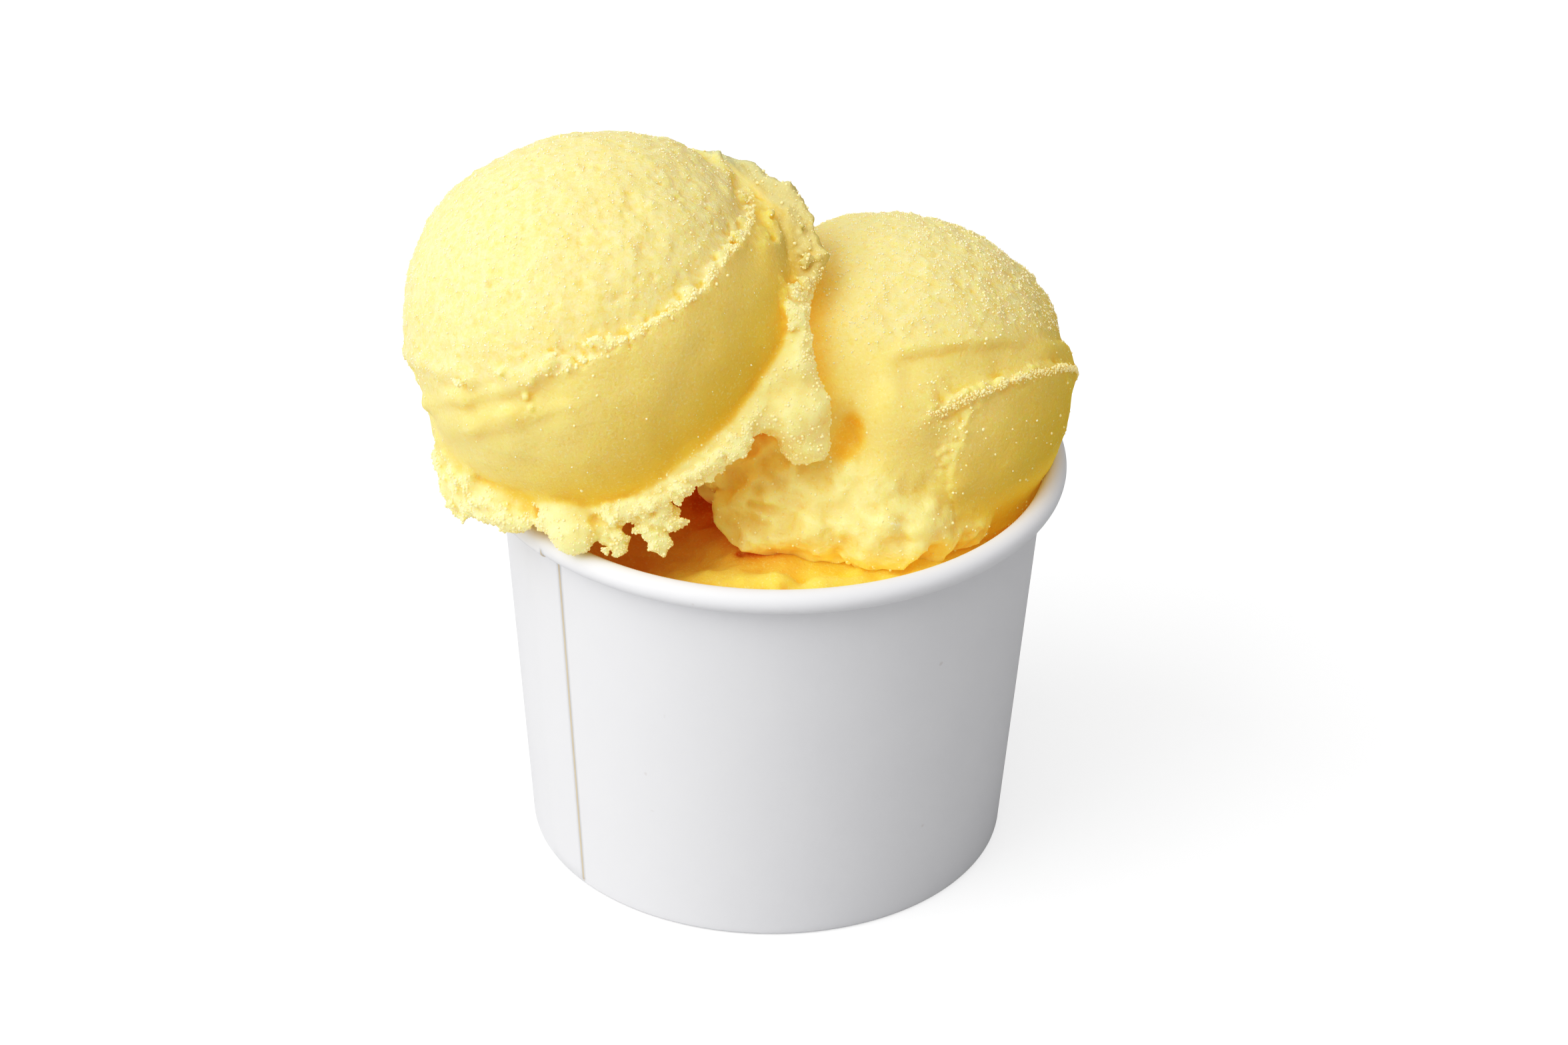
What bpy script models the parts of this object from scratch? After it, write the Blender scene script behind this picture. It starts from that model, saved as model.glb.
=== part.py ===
"""Two scoops of mango sorbet on a packed third one, in a plain white paper cup.

+Z is up and the front faces -Y. The origin is under the middle of the whole, on the surface it
stands on: the left scoop leans out, so the cup's axis is a little to the right of it.
"""

import math

import bmesh
import bpy
from mathutils import Vector, noise

MM = 0.001
GAP = 0.3 * MM
STEPS = 60

CUP_AXIS_X = 4.2 * MM

# Paper cup, measured on its paper
RIM_DIAMETER = 90 * MM
CUP_HEIGHT = 65.5 * MM
FOOT_DIAMETER = 74.2 * MM
PAPER = 0.4 * MM
CURL_RADIUS = 1.6 * MM
CURL_END = -125
FOOT_CORNER = 0.35 * MM
FOOT_FLAT = 0.7 * MM
HEM_HEIGHT = 6.0 * MM
BASE_LEVEL = 6.55 * MM
BASE_CORNER = 0.5 * MM
SKIRT_END = 1.1 * MM
SEAM_AZIMUTH = -139
SEAM_LAP = 0.35 * MM

# Scoops, each from a 57 mm scoop, placed from the cup's axis: the left one's torn face is at its back
LEFT_CENTRE = Vector((-26.6, -10.0, 91.2)) * MM
LEFT_RADIUS = 28.3 * MM
LEFT_FACE = Vector((0.28, 0.65, -0.705)).normalized()
LEFT_FACE_DEPTH = 19 * MM
RIGHT_CENTRE = Vector((17.4, 2.0, 72.5)) * MM
RIGHT_RADIUS = 28.2 * MM

# Each fold is a small circle of the ball: the points whose direction along the axis is the level
LEFT_CREST = (Vector((0.446, -0.119, -0.887)).normalized(), -0.153)
LEFT_VALLEY = (Vector((0.312, -0.187, -0.931)).normalized(), -0.031)
LEFT_FOLD = (Vector((0.202, -0.534, -0.821)).normalized(), 0.443)
RIGHT_STEP = (Vector((0.163, -0.532, -0.831)).normalized(), -0.158)
RIGHT_CREST = (Vector((0.455, -0.574, -0.680)).normalized(), 0.321)
RIGHT_TEAR = (Vector((0.742, -0.669, 0.034)).normalized(), 0.863)

# Width of the torn brim round the left scoop, by angle: 0 left, 90 back, 180 right, 270 front
BRIM_WIDTHS = (
    (0, 0.6), (60, 0.6), (90, 0.6), (112, 0.6), (121, 3.2), (135, 4.8), (150, 7.2), (165, 7.2),
    (180, 5.6), (192, 4.6), (200, 3.0), (215, 3.2), (240, 4.6), (255, 4.4), (263, 3.2), (272, 4.2),
    (290, 4.8), (315, 4.4), (332, 3.2), (345, 1.2), (360, 0.6),
)
BRIM_THICKNESS = 3.2 * MM
BRIM_DEPTH = 6 * MM
BRIM_CRUMB = 0.9 * MM
FACE_UNEVENNESS = 0.16

# Heights (mm) of the folds and dents over the ball
CREST_BAND = 1.3
CREST_GROOVE = 0.3
VALLEY_DEPTH = 0.9
FOLD_HEIGHT = 0.8
FOOT_SWELL = 2.4
STEP_DEPTH = 1.1
CREST_HEIGHT = 1.1
TEAR_DEPTH = 0.9
CUP_SIDE_DENT = 1.5

# Dents and swells on the right scoop's front: x and z of the direction, width in each, height (mm)
RIGHT_SPOTS = (
    (-0.241, 0.29, 0.16, 0.26, -2.8),
    (-0.12, 0.54, 0.20, 0.10, -1.0),
    (0.1, 0.44, 0.16, 0.13, 0.9),
)

# Tapered lobes: start, end (mm), radius at start and at end (mm)
LEFT_LOBES = (
    ((-44.5, -14.0, 76.0), (-49.0, -15.5, 70.2), 5.0, 3.2),
    ((-43.0, -18.0, 75.0), (-46.4, -20.6, 67.6), 5.0, 3.6),
    ((-40.0, -21.0, 74.5), (-42.4, -25.2, 66.8), 5.0, 3.5),
    ((-36.5, -24.0, 74.5), (-37.6, -29.0, 67.2), 5.0, 3.3),
    ((-31.5, -25.5, 74.0), (-29.0, -33.2, 69.6), 5.0, 3.4),
    ((-24.5, -28.0, 75.0), (-21.6, -34.2, 69.4), 4.0, 1.9),
    ((-19.5, -27.0, 74.0), (-17.2, -32.4, 68.6), 3.6, 1.8),
    ((-1.5, -19.0, 94.0), (2.4, -22.4, 88.4), 2.4, 3.4),
    ((-4.4, -25.4, 85.4), (1.4, -25.2, 84.2), 2.6, 4.8),
    ((2.4, -24.4, 85.0), (4.9, -25.0, 79.9), 5.0, 3.5),
    ((-1.0, -12.5, 97.5), (3.4, -13.0, 99.0), 3.2, 2.6),
)
RIGHT_LOBES = (
    ((3.0, -17.0, 71.0), (-5.4, -23.4, 67.0), 7.0, 2.8),
    ((4.0, -17.0, 69.0), (1.2, -24.6, 65.4), 9.0, 5.6),
    ((9.0, -17.0, 69.0), (7.6, -26.0, 65.6), 9.0, 5.8),
    ((14.0, -18.0, 70.0), (14.6, -27.4, 66.2), 9.0, 5.6),
    ((21.0, -16.0, 70.0), (21.4, -24.0, 66.4), 9.0, 6.2),
    ((26.0, -12.0, 69.0), (26.4, -18.8, 65.4), 9.0, 6.4),
)

# Ragged skirt where the right scoop is pressed into the ice cream behind: first and last azimuth
SKIRT_AZIMUTHS = (35, 205)
SKIRT_LOBES = 9
SKIRT_LEVEL = 63.5

VOXEL = 0.8 * MM
LEFT_TRIANGLES = 3850
RIGHT_TRIANGLES = 2750
CUTTER_TRIANGLES = 2200
FILL_TRIANGLES = 1050
FILL_CELLS = 64
FILL_LEVEL = 62.0

# Dips in the packed ice cream (mm): pocket, low side at the right, crack at the front
FILL_DIPS = (
    ((-22, -20), (13, 15), 6.0),
    ((35, -14), (9, 12), 4.0),
    ((4.4, -38), (1.5, 6), 4.0),
)
MOUND_CENTRE = (-18, 9)
MOUND_RADIUS = 21.0
MOUND_TOP = 73.0
FILL_HALF_WIDTH = 46 * MM


def clear_scene():
    for obj in list(bpy.data.objects):
        bpy.data.objects.remove(obj)


def make_collection(name):
    collection = bpy.data.collections.new(name)
    bpy.context.scene.collection.children.link(collection)
    return collection


def make_axis(collection):
    """The empty that everything is placed from, on the cup's axis."""
    axis = bpy.data.objects.new("cup_axis", None)
    axis.location.x = CUP_AXIS_X
    collection.objects.link(axis)


def make_material(name, colour, roughness):
    material = bpy.data.materials.new(name)
    material.use_nodes = True
    shader = material.node_tree.nodes["Principled BSDF"]
    shader.inputs["Base Color"].default_value = (*colour, 1)
    shader.inputs["Roughness"].default_value = roughness
    return material


def make_object(name, mesh, collection, material=None):
    obj = bpy.data.objects.new(name, mesh)
    collection.objects.link(obj)
    obj.parent = bpy.data.objects["cup_axis"]
    if material:
        mesh.materials.clear()
        mesh.materials.append(material)
    return obj


def applied(obj):
    """The mesh of the object with its modifiers, in place of its old one."""
    bpy.context.view_layer.update()
    graph = bpy.context.evaluated_depsgraph_get()
    mesh = bpy.data.meshes.new_from_object(obj.evaluated_get(graph))
    obj.modifiers.clear()
    obj.data = mesh
    return obj


def keep_largest(obj):
    """Drops the loose scraps that a cut leaves."""
    bm = bmesh.new()
    bm.from_mesh(obj.data)
    left = set(bm.verts)
    islands = []
    while left:
        island, edge = set(), [left.pop()]
        while edge:
            vert = edge.pop()
            island.add(vert)
            for near in (link.other_vert(vert) for link in vert.link_edges):
                if near in left:
                    left.remove(near)
                    edge.append(near)
        islands.append(island)
    islands.sort(key=len)
    for island in islands[:-1]:
        bmesh.ops.delete(bm, geom=list(island), context="VERTS")
    bm.to_mesh(obj.data)
    bm.free()


def boolean(obj, operation, other):
    modifier = obj.modifiers.new(operation.title(), "BOOLEAN")
    modifier.operation = operation
    modifier.solver = "EXACT"
    modifier.object = other


def smoothstep(low, high, value):
    t = min(max((value - low) / (high - low), 0), 1)
    return t * t * (3 - 2 * t)


def bell(value, width):
    return math.exp(-((value / width) ** 2))


def from_circle(direction, circle, radius):
    """Distance over the ball from a fold's circle, positive on the side its axis points to."""
    axis, level = circle
    return (math.asin(max(-1, min(1, direction.dot(axis)))) - math.asin(level)) * radius


# Paper cup

def wall_radius(height):
    """Radius to the middle of the paper of the cup's wall."""
    curl_middle = RIM_DIAMETER / 2 - CURL_RADIUS - PAPER / 2
    top = curl_middle - CURL_RADIUS
    foot = FOOT_DIAMETER / 2 - PAPER / 2
    return foot + (top - foot) * height / (CUP_HEIGHT - CURL_RADIUS - PAPER / 2)


def arc(centre, radius, start, end, count):
    angles = [math.radians(start + (end - start) * i / count) for i in range(count + 1)]
    return [(centre[0] + radius * math.cos(a), centre[1] + radius * math.sin(a)) for a in angles]


def wall_path():
    """Middle of the paper, from the hem inside the foot, up the wall and round the rolled rim."""
    low = PAPER / 2 + FOOT_CORNER
    outer = wall_radius(low) - FOOT_CORNER
    inner = outer - FOOT_FLAT
    hem_shift = wall_radius(low) - (inner - FOOT_CORNER)
    curl = (RIM_DIAMETER / 2 - CURL_RADIUS - PAPER / 2, CUP_HEIGHT - CURL_RADIUS - PAPER / 2)
    path = [(wall_radius(HEM_HEIGHT) - hem_shift, HEM_HEIGHT)]
    path += arc((inner, low), FOOT_CORNER, 180, 270, 1)
    path += arc((outer, low), FOOT_CORNER, 270, 360, 1)
    path += arc(curl, CURL_RADIUS, 180, CURL_END, 10)
    return path


def base_path():
    """Middle of the paper of the base: a flat disc and the skirt held in the wall's foot."""
    skirt_shift = FOOT_CORNER + FOOT_FLAT / 2
    corner = (wall_radius(BASE_LEVEL) - skirt_shift - BASE_CORNER, BASE_LEVEL - BASE_CORNER)
    return [
        (0, BASE_LEVEL),
        *arc(corner, BASE_CORNER, 90, 0, 2),
        (wall_radius(SKIRT_END) - skirt_shift, SKIRT_END),
    ]


def thickened(path, half):
    """A strip's closed outline: both sides of a path, mitred at its bends."""
    sides = ([], [])
    for i, point in enumerate(path):
        before = Vector(path[max(i - 1, 0)])
        after = Vector(path[min(i + 1, len(path) - 1)])
        here = Vector(point)
        first = (here - before).normalized() if i else (after - here).normalized()
        last = (after - here).normalized() if i < len(path) - 1 else first
        along = (first + last).normalized()
        across = Vector((-along.y, along.x)) * half / max(along.dot(first), 0.5)
        sides[0].append(here + across)
        sides[1].append(here - across)
    return sides


def turned(name, outline, collection, material=None):
    """A solid of revolution about Z. A profile that touches the axis is left open there."""
    mesh = bpy.data.meshes.new(name)
    on_axis = outline[0][0] < 1e-9 and outline[-1][0] < 1e-9
    count = len(outline)
    edges = [(i, (i + 1) % count) for i in range(count - 1 if on_axis else count)]
    mesh.from_pydata([(x, 0, z) for x, z in outline], edges, [])
    obj = make_object(name, mesh, collection, material)
    obj.rotation_euler.z = math.radians(SEAM_AZIMUTH)
    screw = obj.modifiers.new("Screw", "SCREW")
    screw.steps = screw.render_steps = STEPS
    screw.use_merge_vertices = True
    screw.merge_threshold = 1e-6
    return obj


def raise_seam(obj):
    """Lifts the wall's outside by a paper's thickness where its two ends lap, left of the seam."""
    seam_width = 2.2 * math.tau / STEPS
    for vertex in obj.data.vertices:
        x, y, z = vertex.co
        radius = math.hypot(x, y)
        outside = radius > wall_radius(z) and 2 * PAPER < z < CUP_HEIGHT - 3 * CURL_RADIUS
        if outside and -seam_width < math.atan2(y, x) < 0.01:
            vertex.co.x += SEAM_LAP * x / radius
            vertex.co.y += SEAM_LAP * y / radius


def add_wall_loops(path):
    """Two more points up the wall, so that the seam starts above the foot and ends below the rim."""
    levels = (2.5 * PAPER, CUP_HEIGHT - 3.5 * CURL_RADIUS)
    wall = [(wall_radius(level), level) for level in levels]
    low = next(i for i, point in enumerate(path) if i > 2 and point[1] > PAPER)
    return path[:low + 1] + wall + path[low + 1:]


def make_cup(collection, paper):
    left, right = thickened(add_wall_loops(wall_path()), PAPER / 2)
    wall = turned("cup_wall", left + right[::-1], collection, paper)
    applied(wall)
    raise_seam(wall)
    above, below = thickened(base_path(), PAPER / 2)
    base = turned("cup_base", above + below[::-1], collection, paper)
    return wall, applied(base)


# Ice cream

def left_relief(direction):
    """How far the left scoop stands off its ball: crest, valley and fold, then the swell at its foot."""
    crest = from_circle(direction, LEFT_CREST, LEFT_RADIUS)
    strength = smoothstep(-0.55, 0.25, direction.x)
    ahead = smoothstep(0.3, -0.3, direction.y)
    band = CREST_BAND * (0.4 + 0.6 * bell(crest, 6 * MM)) * smoothstep(-0.5 * MM, 0.7 * MM, crest)
    relief = band * strength * ahead
    relief -= CREST_GROOVE * bell(crest + 1.6 * MM, 2 * MM) * strength * ahead
    away = smoothstep(0.05, -0.6, direction.x)
    valley = from_circle(direction, LEFT_VALLEY, LEFT_RADIUS)
    relief -= VALLEY_DEPTH * bell(valley, 2.6 * MM) * away
    fold = from_circle(direction, LEFT_FOLD, LEFT_RADIUS)
    relief += FOLD_HEIGHT * bell(fold, 2.4 * MM) * smoothstep(0.2, -0.5, direction.x)
    foot = smoothstep(-0.42, -0.02, direction.dot(LEFT_FACE))
    low = smoothstep(-0.42, -0.66, direction.z)
    relief += FOOT_SWELL * foot * low * smoothstep(-0.45, -0.85, direction.x)
    return relief * MM


def right_relief(direction):
    """The right scoop's step, crest, torn edge, dimple and the side pressed in by the cup."""
    step = from_circle(direction, RIGHT_STEP, RIGHT_RADIUS)
    crest = from_circle(direction, RIGHT_CREST, RIGHT_RADIUS)
    tear = from_circle(direction, RIGHT_TEAR, RIGHT_RADIUS)
    across = smoothstep(0.05, 0.3, direction.x)
    far = smoothstep(0.55, 0.95, direction.x)
    below = smoothstep(-0.4 * MM, 0.8 * MM, step)
    relief = STEP_DEPTH * across * below * bell(step - 3 * MM, 6 * MM) * (2 * far - 1)
    relief += CREST_HEIGHT * across * bell(crest, 1.3 * MM) * smoothstep(0.3, -0.1, direction.y)
    side = smoothstep(-0.8 * MM, 0.8 * MM, tear)
    lower = smoothstep(0.5, 0.35, direction.z)
    relief -= TEAR_DEPTH * (1 - side) * lower * bell(tear, 7 * MM)
    if direction.y < 0:
        for x, z, wide, high, height in RIGHT_SPOTS:
            relief += height * bell(direction.x - x, wide) * bell(direction.z - z, high)
    low = smoothstep(0.1, -0.35, direction.z)
    relief -= CUP_SIDE_DENT * low * smoothstep(0.3, 0.9, direction.x)
    return relief * MM


def add_ball(bm, centre, radius, relief, grow):
    start = len(bm.verts)
    bmesh.ops.create_icosphere(bm, subdivisions=5, radius=1)
    bm.verts.ensure_lookup_table()
    for vertex in bm.verts[start:]:
        direction = vertex.co.normalized()
        vertex.co = centre + direction * (radius + relief(direction) + grow)


def flatten_face(bm, centre, normal, depth):
    """Presses what lies behind the torn face's plane to a shallow, uneven cushion."""
    for vertex in bm.verts:
        offset = vertex.co - centre
        behind = offset.dot(normal)
        if behind > 0:
            uneven = 1 + FACE_UNEVENNESS * noise.noise(offset / (9 * MM))
            squash = depth / LEFT_RADIUS * uneven
            vertex.co -= normal * behind * (1 - squash)


def brim_width(angle):
    for (low, first), (high, last) in zip(BRIM_WIDTHS, BRIM_WIDTHS[1:]):
        if low <= angle <= high:
            return (first + (last - first) * smoothstep(low, high, angle)) * MM
    return BRIM_WIDTHS[0][1] * MM


def add_brim(bm, grow):
    """The torn brim round the left scoop: a flat ring whose width changes with the angle."""
    left = (Vector((-1, 0, 0)) + LEFT_FACE * LEFT_FACE.x).normalized()
    back = LEFT_FACE.cross(left)
    ring = bpy.data.meshes.new("ring")
    major, minor = 144, 12
    points, faces = [], []
    for i in range(major):
        angle = math.tau * i / major
        out = left * math.cos(angle) + back * math.sin(angle)
        crumb = BRIM_CRUMB * noise.noise(out * 9)
        outer = LEFT_RADIUS + brim_width(math.degrees(angle)) + crumb + grow
        inner = LEFT_RADIUS - BRIM_DEPTH
        for j in range(minor):
            turn = math.tau * j / minor
            radial = (outer + inner) / 2 + (outer - inner) / 2 * math.cos(turn)
            axial = (BRIM_THICKNESS / 2 + grow) * math.sin(turn)
            points.append(LEFT_CENTRE + out * radial + LEFT_FACE * axial)
            after = (i + 1) % major * minor
            onward = (j + 1) % minor
            faces.append((i * minor + j, i * minor + onward, after + onward, after + j))
    ring.from_pydata(points, [], faces)
    bm.from_mesh(ring)
    bpy.data.meshes.remove(ring)


def add_lobe(bm, start, end, start_radius, end_radius, grow):
    """A round ended, tapered lobe."""
    first = len(bm.verts)
    bmesh.ops.create_icosphere(bm, subdivisions=3, radius=1)
    bm.verts.ensure_lookup_table()
    start = Vector(start) * MM
    end = Vector(end) * MM
    axis = (end - start).normalized()
    for vertex in bm.verts[first:]:
        at_end = vertex.co.dot(axis) > 0
        radius = (end_radius if at_end else start_radius) * MM + grow
        vertex.co = (end if at_end else start) + vertex.co * radius


def add_left(bm, grow=0):
    add_ball(bm, LEFT_CENTRE, LEFT_RADIUS, left_relief, grow)
    flatten_face(bm, LEFT_CENTRE, LEFT_FACE, LEFT_FACE_DEPTH)
    add_brim(bm, grow)
    for lobe in LEFT_LOBES:
        add_lobe(bm, *lobe, grow)


def skirt_lobes():
    """Uneven lobes squeezed out round the back of the right scoop."""
    first, last = SKIRT_AZIMUTHS
    centre = RIGHT_CENTRE / MM
    for i in range(SKIRT_LOBES):
        azimuth = math.radians(first + (last - first) * i / (SKIRT_LOBES - 1))
        out = Vector((math.cos(azimuth), math.sin(azimuth), 0))
        uneven = noise.noise(Vector((i * 1.7, 0.3, 0)))
        reach = 25.5 + 2.2 * uneven
        start = centre + out * 21
        end = centre + out * reach
        start.z = SKIRT_LEVEL + 3
        end.z = SKIRT_LEVEL - 1.5 + 2 * uneven
        yield start, end, 5.5, 3.6 + uneven


def add_right(bm, grow=0):
    add_ball(bm, RIGHT_CENTRE, RIGHT_RADIUS, right_relief, grow)
    for lobe in (*RIGHT_LOBES, *skirt_lobes()):
        add_lobe(bm, *lobe, grow)


def melted(name, add_shapes, triangles, collection, material=None, grow=0):
    """Shapes run together into one skin, smoothed a little and thinned to a number of triangles."""
    bm = bmesh.new()
    add_shapes(bm, grow)
    bmesh.ops.recalc_face_normals(bm, faces=bm.faces)
    mesh = bpy.data.meshes.new(name)
    bm.to_mesh(mesh)
    bm.free()
    obj = make_object(name, mesh, collection, material)
    remesh = obj.modifiers.new("Skin", "REMESH")
    remesh.mode = "VOXEL"
    remesh.voxel_size = VOXEL
    soften = obj.modifiers.new("Soften", "SMOOTH")
    soften.factor = 0.5
    soften.iterations = 2
    applied(obj)
    keep_largest(obj)
    thin = obj.modifiers.new("Thin", "DECIMATE")
    thin.use_collapse_triangulate = True
    thin.ratio = triangles / (2 * len(obj.data.polygons))
    return applied(obj)


def fill_height(x, y):
    """Top of the packed ice cream: a pocket at the front left, a rounded mound under the left scoop."""
    height = FILL_LEVEL + 0.8 * noise.noise(Vector((x / 6, y / 6, 0.5)))
    for (middle_x, middle_y), (wide, deep), depth in FILL_DIPS:
        height -= depth * bell(x - middle_x, wide) * bell(y - middle_y, deep)
    away = math.hypot(x - MOUND_CENTRE[0], y - MOUND_CENTRE[1])
    mound = MOUND_TOP - MOUND_RADIUS + math.sqrt(max(MOUND_RADIUS ** 2 - away ** 2, 0))
    mound += 1.2 * noise.noise(Vector((x / 8, y / 8, 2.5)))
    return max(height, mound) * MM


def cavity_outline(gap, top, flare):
    """Inside of the cup less a gap, with room to spread above the rim where flare is given."""
    inside = PAPER / 2 + gap
    level = BASE_LEVEL + PAPER / 2 + gap
    curl = (RIM_DIAMETER / 2 - CURL_RADIUS - PAPER / 2, CUP_HEIGHT - CURL_RADIUS - PAPER / 2)
    neck = (wall_radius(curl[1]) - inside, curl[1])
    outline = [(0, top)]
    if flare:
        outline += [(flare, top), (flare, CUP_HEIGHT + gap)]
        outline += arc(curl, CURL_RADIUS + inside, 90, 180, 5)
    else:
        outline += [(neck[0], top), neck]
    outline += [(wall_radius(level) - inside, level), (0, level)]
    return outline


def make_fill(collection, material, cavity, cutters):
    mesh = bpy.data.meshes.new("ice_cream_base")
    bm = bmesh.new()
    bmesh.ops.create_grid(bm, x_segments=FILL_CELLS, y_segments=FILL_CELLS, size=FILL_HALF_WIDTH)
    top = bm.faces[:]
    lowered = bmesh.ops.extrude_face_region(bm, geom=top, use_keep_orig=True)
    for item in lowered["geom"]:
        if isinstance(item, bmesh.types.BMVert):
            item.co.z = -1
    for vertex in bm.verts:
        if vertex.co.z > -0.5:
            vertex.co.z = fill_height(vertex.co.x / MM, vertex.co.y / MM)
        else:
            vertex.co.z = 0
    bmesh.ops.recalc_face_normals(bm, faces=bm.faces)
    bm.to_mesh(mesh)
    bm.free()
    fill = make_object("ice_cream_base", mesh, collection, material)
    thin = fill.modifiers.new("Thin", "DECIMATE")
    thin.use_collapse_triangulate = True
    thin.ratio = FILL_TRIANGLES / (4 * FILL_CELLS ** 2)
    applied(fill)
    boolean(fill, "INTERSECT", cavity)
    for cutter in cutters:
        boolean(fill, "DIFFERENCE", cutter)
    applied(fill)
    keep_largest(fill)
    return fill


def cutter(obj):
    obj.hide_render = True
    obj.display_type = "WIRE"
    return obj


def make_ice_cream(parts, cutters, sorbet):
    room = cavity_outline(GAP, 130 * MM, 60 * MM)
    over_rim = cutter(applied(turned("over_rim_room", room, cutters)))
    inside = cavity_outline(GAP, 90 * MM, 0)
    cavity = cutter(applied(turned("cup_room", inside, cutters)))
    grown_left, grown_right = thickened(add_wall_loops(wall_path()), PAPER / 2 + GAP)
    shell = cutter(applied(turned("cup_wall_and_gap", grown_left + grown_right[::-1], cutters)))

    left = melted("scoop_left", add_left, LEFT_TRIANGLES, parts, sorbet)
    boolean(left, "DIFFERENCE", shell)
    keep_largest(applied(left))

    left_and_gap = melted("scoop_left_and_gap", add_left, CUTTER_TRIANGLES, cutters, grow=2 * GAP)
    cutter(left_and_gap)
    right = melted("scoop_right", add_right, RIGHT_TRIANGLES, parts, sorbet)
    boolean(right, "INTERSECT", over_rim)
    boolean(right, "DIFFERENCE", left_and_gap)
    keep_largest(applied(right))

    right_and_gap = melted("scoop_right_and_gap", add_right, CUTTER_TRIANGLES, cutters, grow=2 * GAP)
    cutter(right_and_gap)
    fill = make_fill(parts, sorbet, cavity, (left_and_gap, right_and_gap))
    return left, right, fill


def main():
    clear_scene()
    parts = make_collection("sorbet_cup")
    cutters = make_collection("cutters")
    make_axis(parts)
    paper = make_material("white_paper", (0.86, 0.86, 0.85), 0.5)
    sorbet = make_material("mango_sorbet", (0.90, 0.66, 0.16), 0.6)
    pieces = make_cup(parts, paper) + make_ice_cream(parts, cutters, sorbet)
    for piece in pieces:
        piece.data.shade_smooth()
        piece.data.set_sharp_from_angle(angle=math.radians(50))


main()
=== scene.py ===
"""The look of two scoops of mango sorbet in a white paper cup.

Shapes are worked out in millimetres from the cup's axis, as signed distances on grids, and become
metres in the row frame when a mesh is made. The front faces -Y.
"""

import math

import bmesh
import bpy
import numpy as np
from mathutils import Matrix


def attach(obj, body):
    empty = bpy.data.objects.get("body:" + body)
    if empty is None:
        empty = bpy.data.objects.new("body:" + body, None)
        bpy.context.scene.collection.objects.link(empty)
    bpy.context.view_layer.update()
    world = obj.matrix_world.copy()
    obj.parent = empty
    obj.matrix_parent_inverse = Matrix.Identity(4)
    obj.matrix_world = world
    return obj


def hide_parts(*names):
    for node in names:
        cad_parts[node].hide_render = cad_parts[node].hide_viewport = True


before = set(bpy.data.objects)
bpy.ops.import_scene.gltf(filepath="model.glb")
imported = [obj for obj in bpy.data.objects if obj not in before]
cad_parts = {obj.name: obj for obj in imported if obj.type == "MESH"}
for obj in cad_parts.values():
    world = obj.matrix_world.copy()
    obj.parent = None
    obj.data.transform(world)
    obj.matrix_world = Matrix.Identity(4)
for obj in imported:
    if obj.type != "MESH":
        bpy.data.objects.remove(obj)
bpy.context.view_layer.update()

import openvdb
from mathutils import Matrix, Vector

MM = 0.001
AXIS_X = 4.2
FAR = 3.0

# Paper cup
RIM_RADIUS = 45.0
CUP_HEIGHT = 65.5
FOOT_RADIUS = 37.1
PAPER = 0.4
CURL_RADIUS = 1.6
CURL_END = -125
FOOT_CORNER = 0.35
FOOT_FLAT = 0.7
HEM_HEIGHT = 6.0
SEAM_AZIMUTH = -139
SEAM_LAP = 0.3
CURL = (RIM_RADIUS - CURL_RADIUS - PAPER / 2, CUP_HEIGHT - CURL_RADIUS - PAPER / 2)

# Left scoop. A circle on a ball is its axis and how far along it the circle lies, in radii.
LEFT_CENTRE = np.array((-26.6, -10, 91.2))
LEFT_RADIUS = 28.3
LEFT_FACE = np.array((0.2803, 0.6507, -0.7057))
LEFT_FACE_DEPTH = 19.0
RING_LEFT = np.array((-0.9599, 0.19, -0.2061))
RING_BACK = np.array((0, 0.7352, 0.6778))
LEFT_CREST = ((0.446, -0.119, -0.887), -0.153)
LEFT_VALLEY = ((0.312, -0.187, -0.931), -0.031)
LEFT_FOLD = ((0.202, -0.534, -0.821), 0.443)
BRIM_THICKNESS = 3.2
BRIM_DEPTH = 6.0
# By degrees round the brim, in mm: its width beyond the ball, how far it lies ahead of its
# plane, and how far the ball's shoulder rolls out under it
BRIM_WIDTHS = (
    (0, -1.2), (40, -1), (60, -0.2), (90, 0), (112, 0), (118, 1.6), (125, 3), (136, 4.6),
    (142, 5.7), (147, 7), (152, 7), (156, 7.4), (160, 6.7), (164, 7.2), (167, 7.9), (171, 6),
    (178, 5), (186, 4.2), (194, 4), (200, 2.4), (215, 3), (222, 4.2), (230, 3.7), (240, 3.3),
    (250, 3.7), (259, 2.8), (272, 3.4), (290, 3.6), (312, 2.4), (325, 0.4), (335, -1), (360, -1.2),
)
BRIM_AHEAD = (
    (0, 0), (112, 0), (126, -1.2), (155, -1.3), (168, -0.9), (184, -0.5), (200, 0.6), (214, 1.6), (226, 2.6),
    (234, 3.2), (246, 2.5), (256, 1.3), (275, 0.8), (320, 0.3), (360, 0),
)
SHOULDER = (
    (0, 0), (95, 0), (111, 1.4), (127, 2.4), (135, 3.2), (151, 3.6), (161, 2.6), (168, 1.9), (188, 1.2),
    (195, 0.9), (204, 0), (360, 0),
)
# Broad swellings and dents: direction, width and height
LEFT_BULGES = (
    ((-0.84, 0.27, 0.47), 0.28, 1.1), ((-0.93, -0.17, -0.29), 0.2, -0.5), ((-0.46, 0.44, 0.77), 0.25, -0.6),
    ((0.39, 0.46, 0.79), 0.25, 1.1),
)

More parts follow.
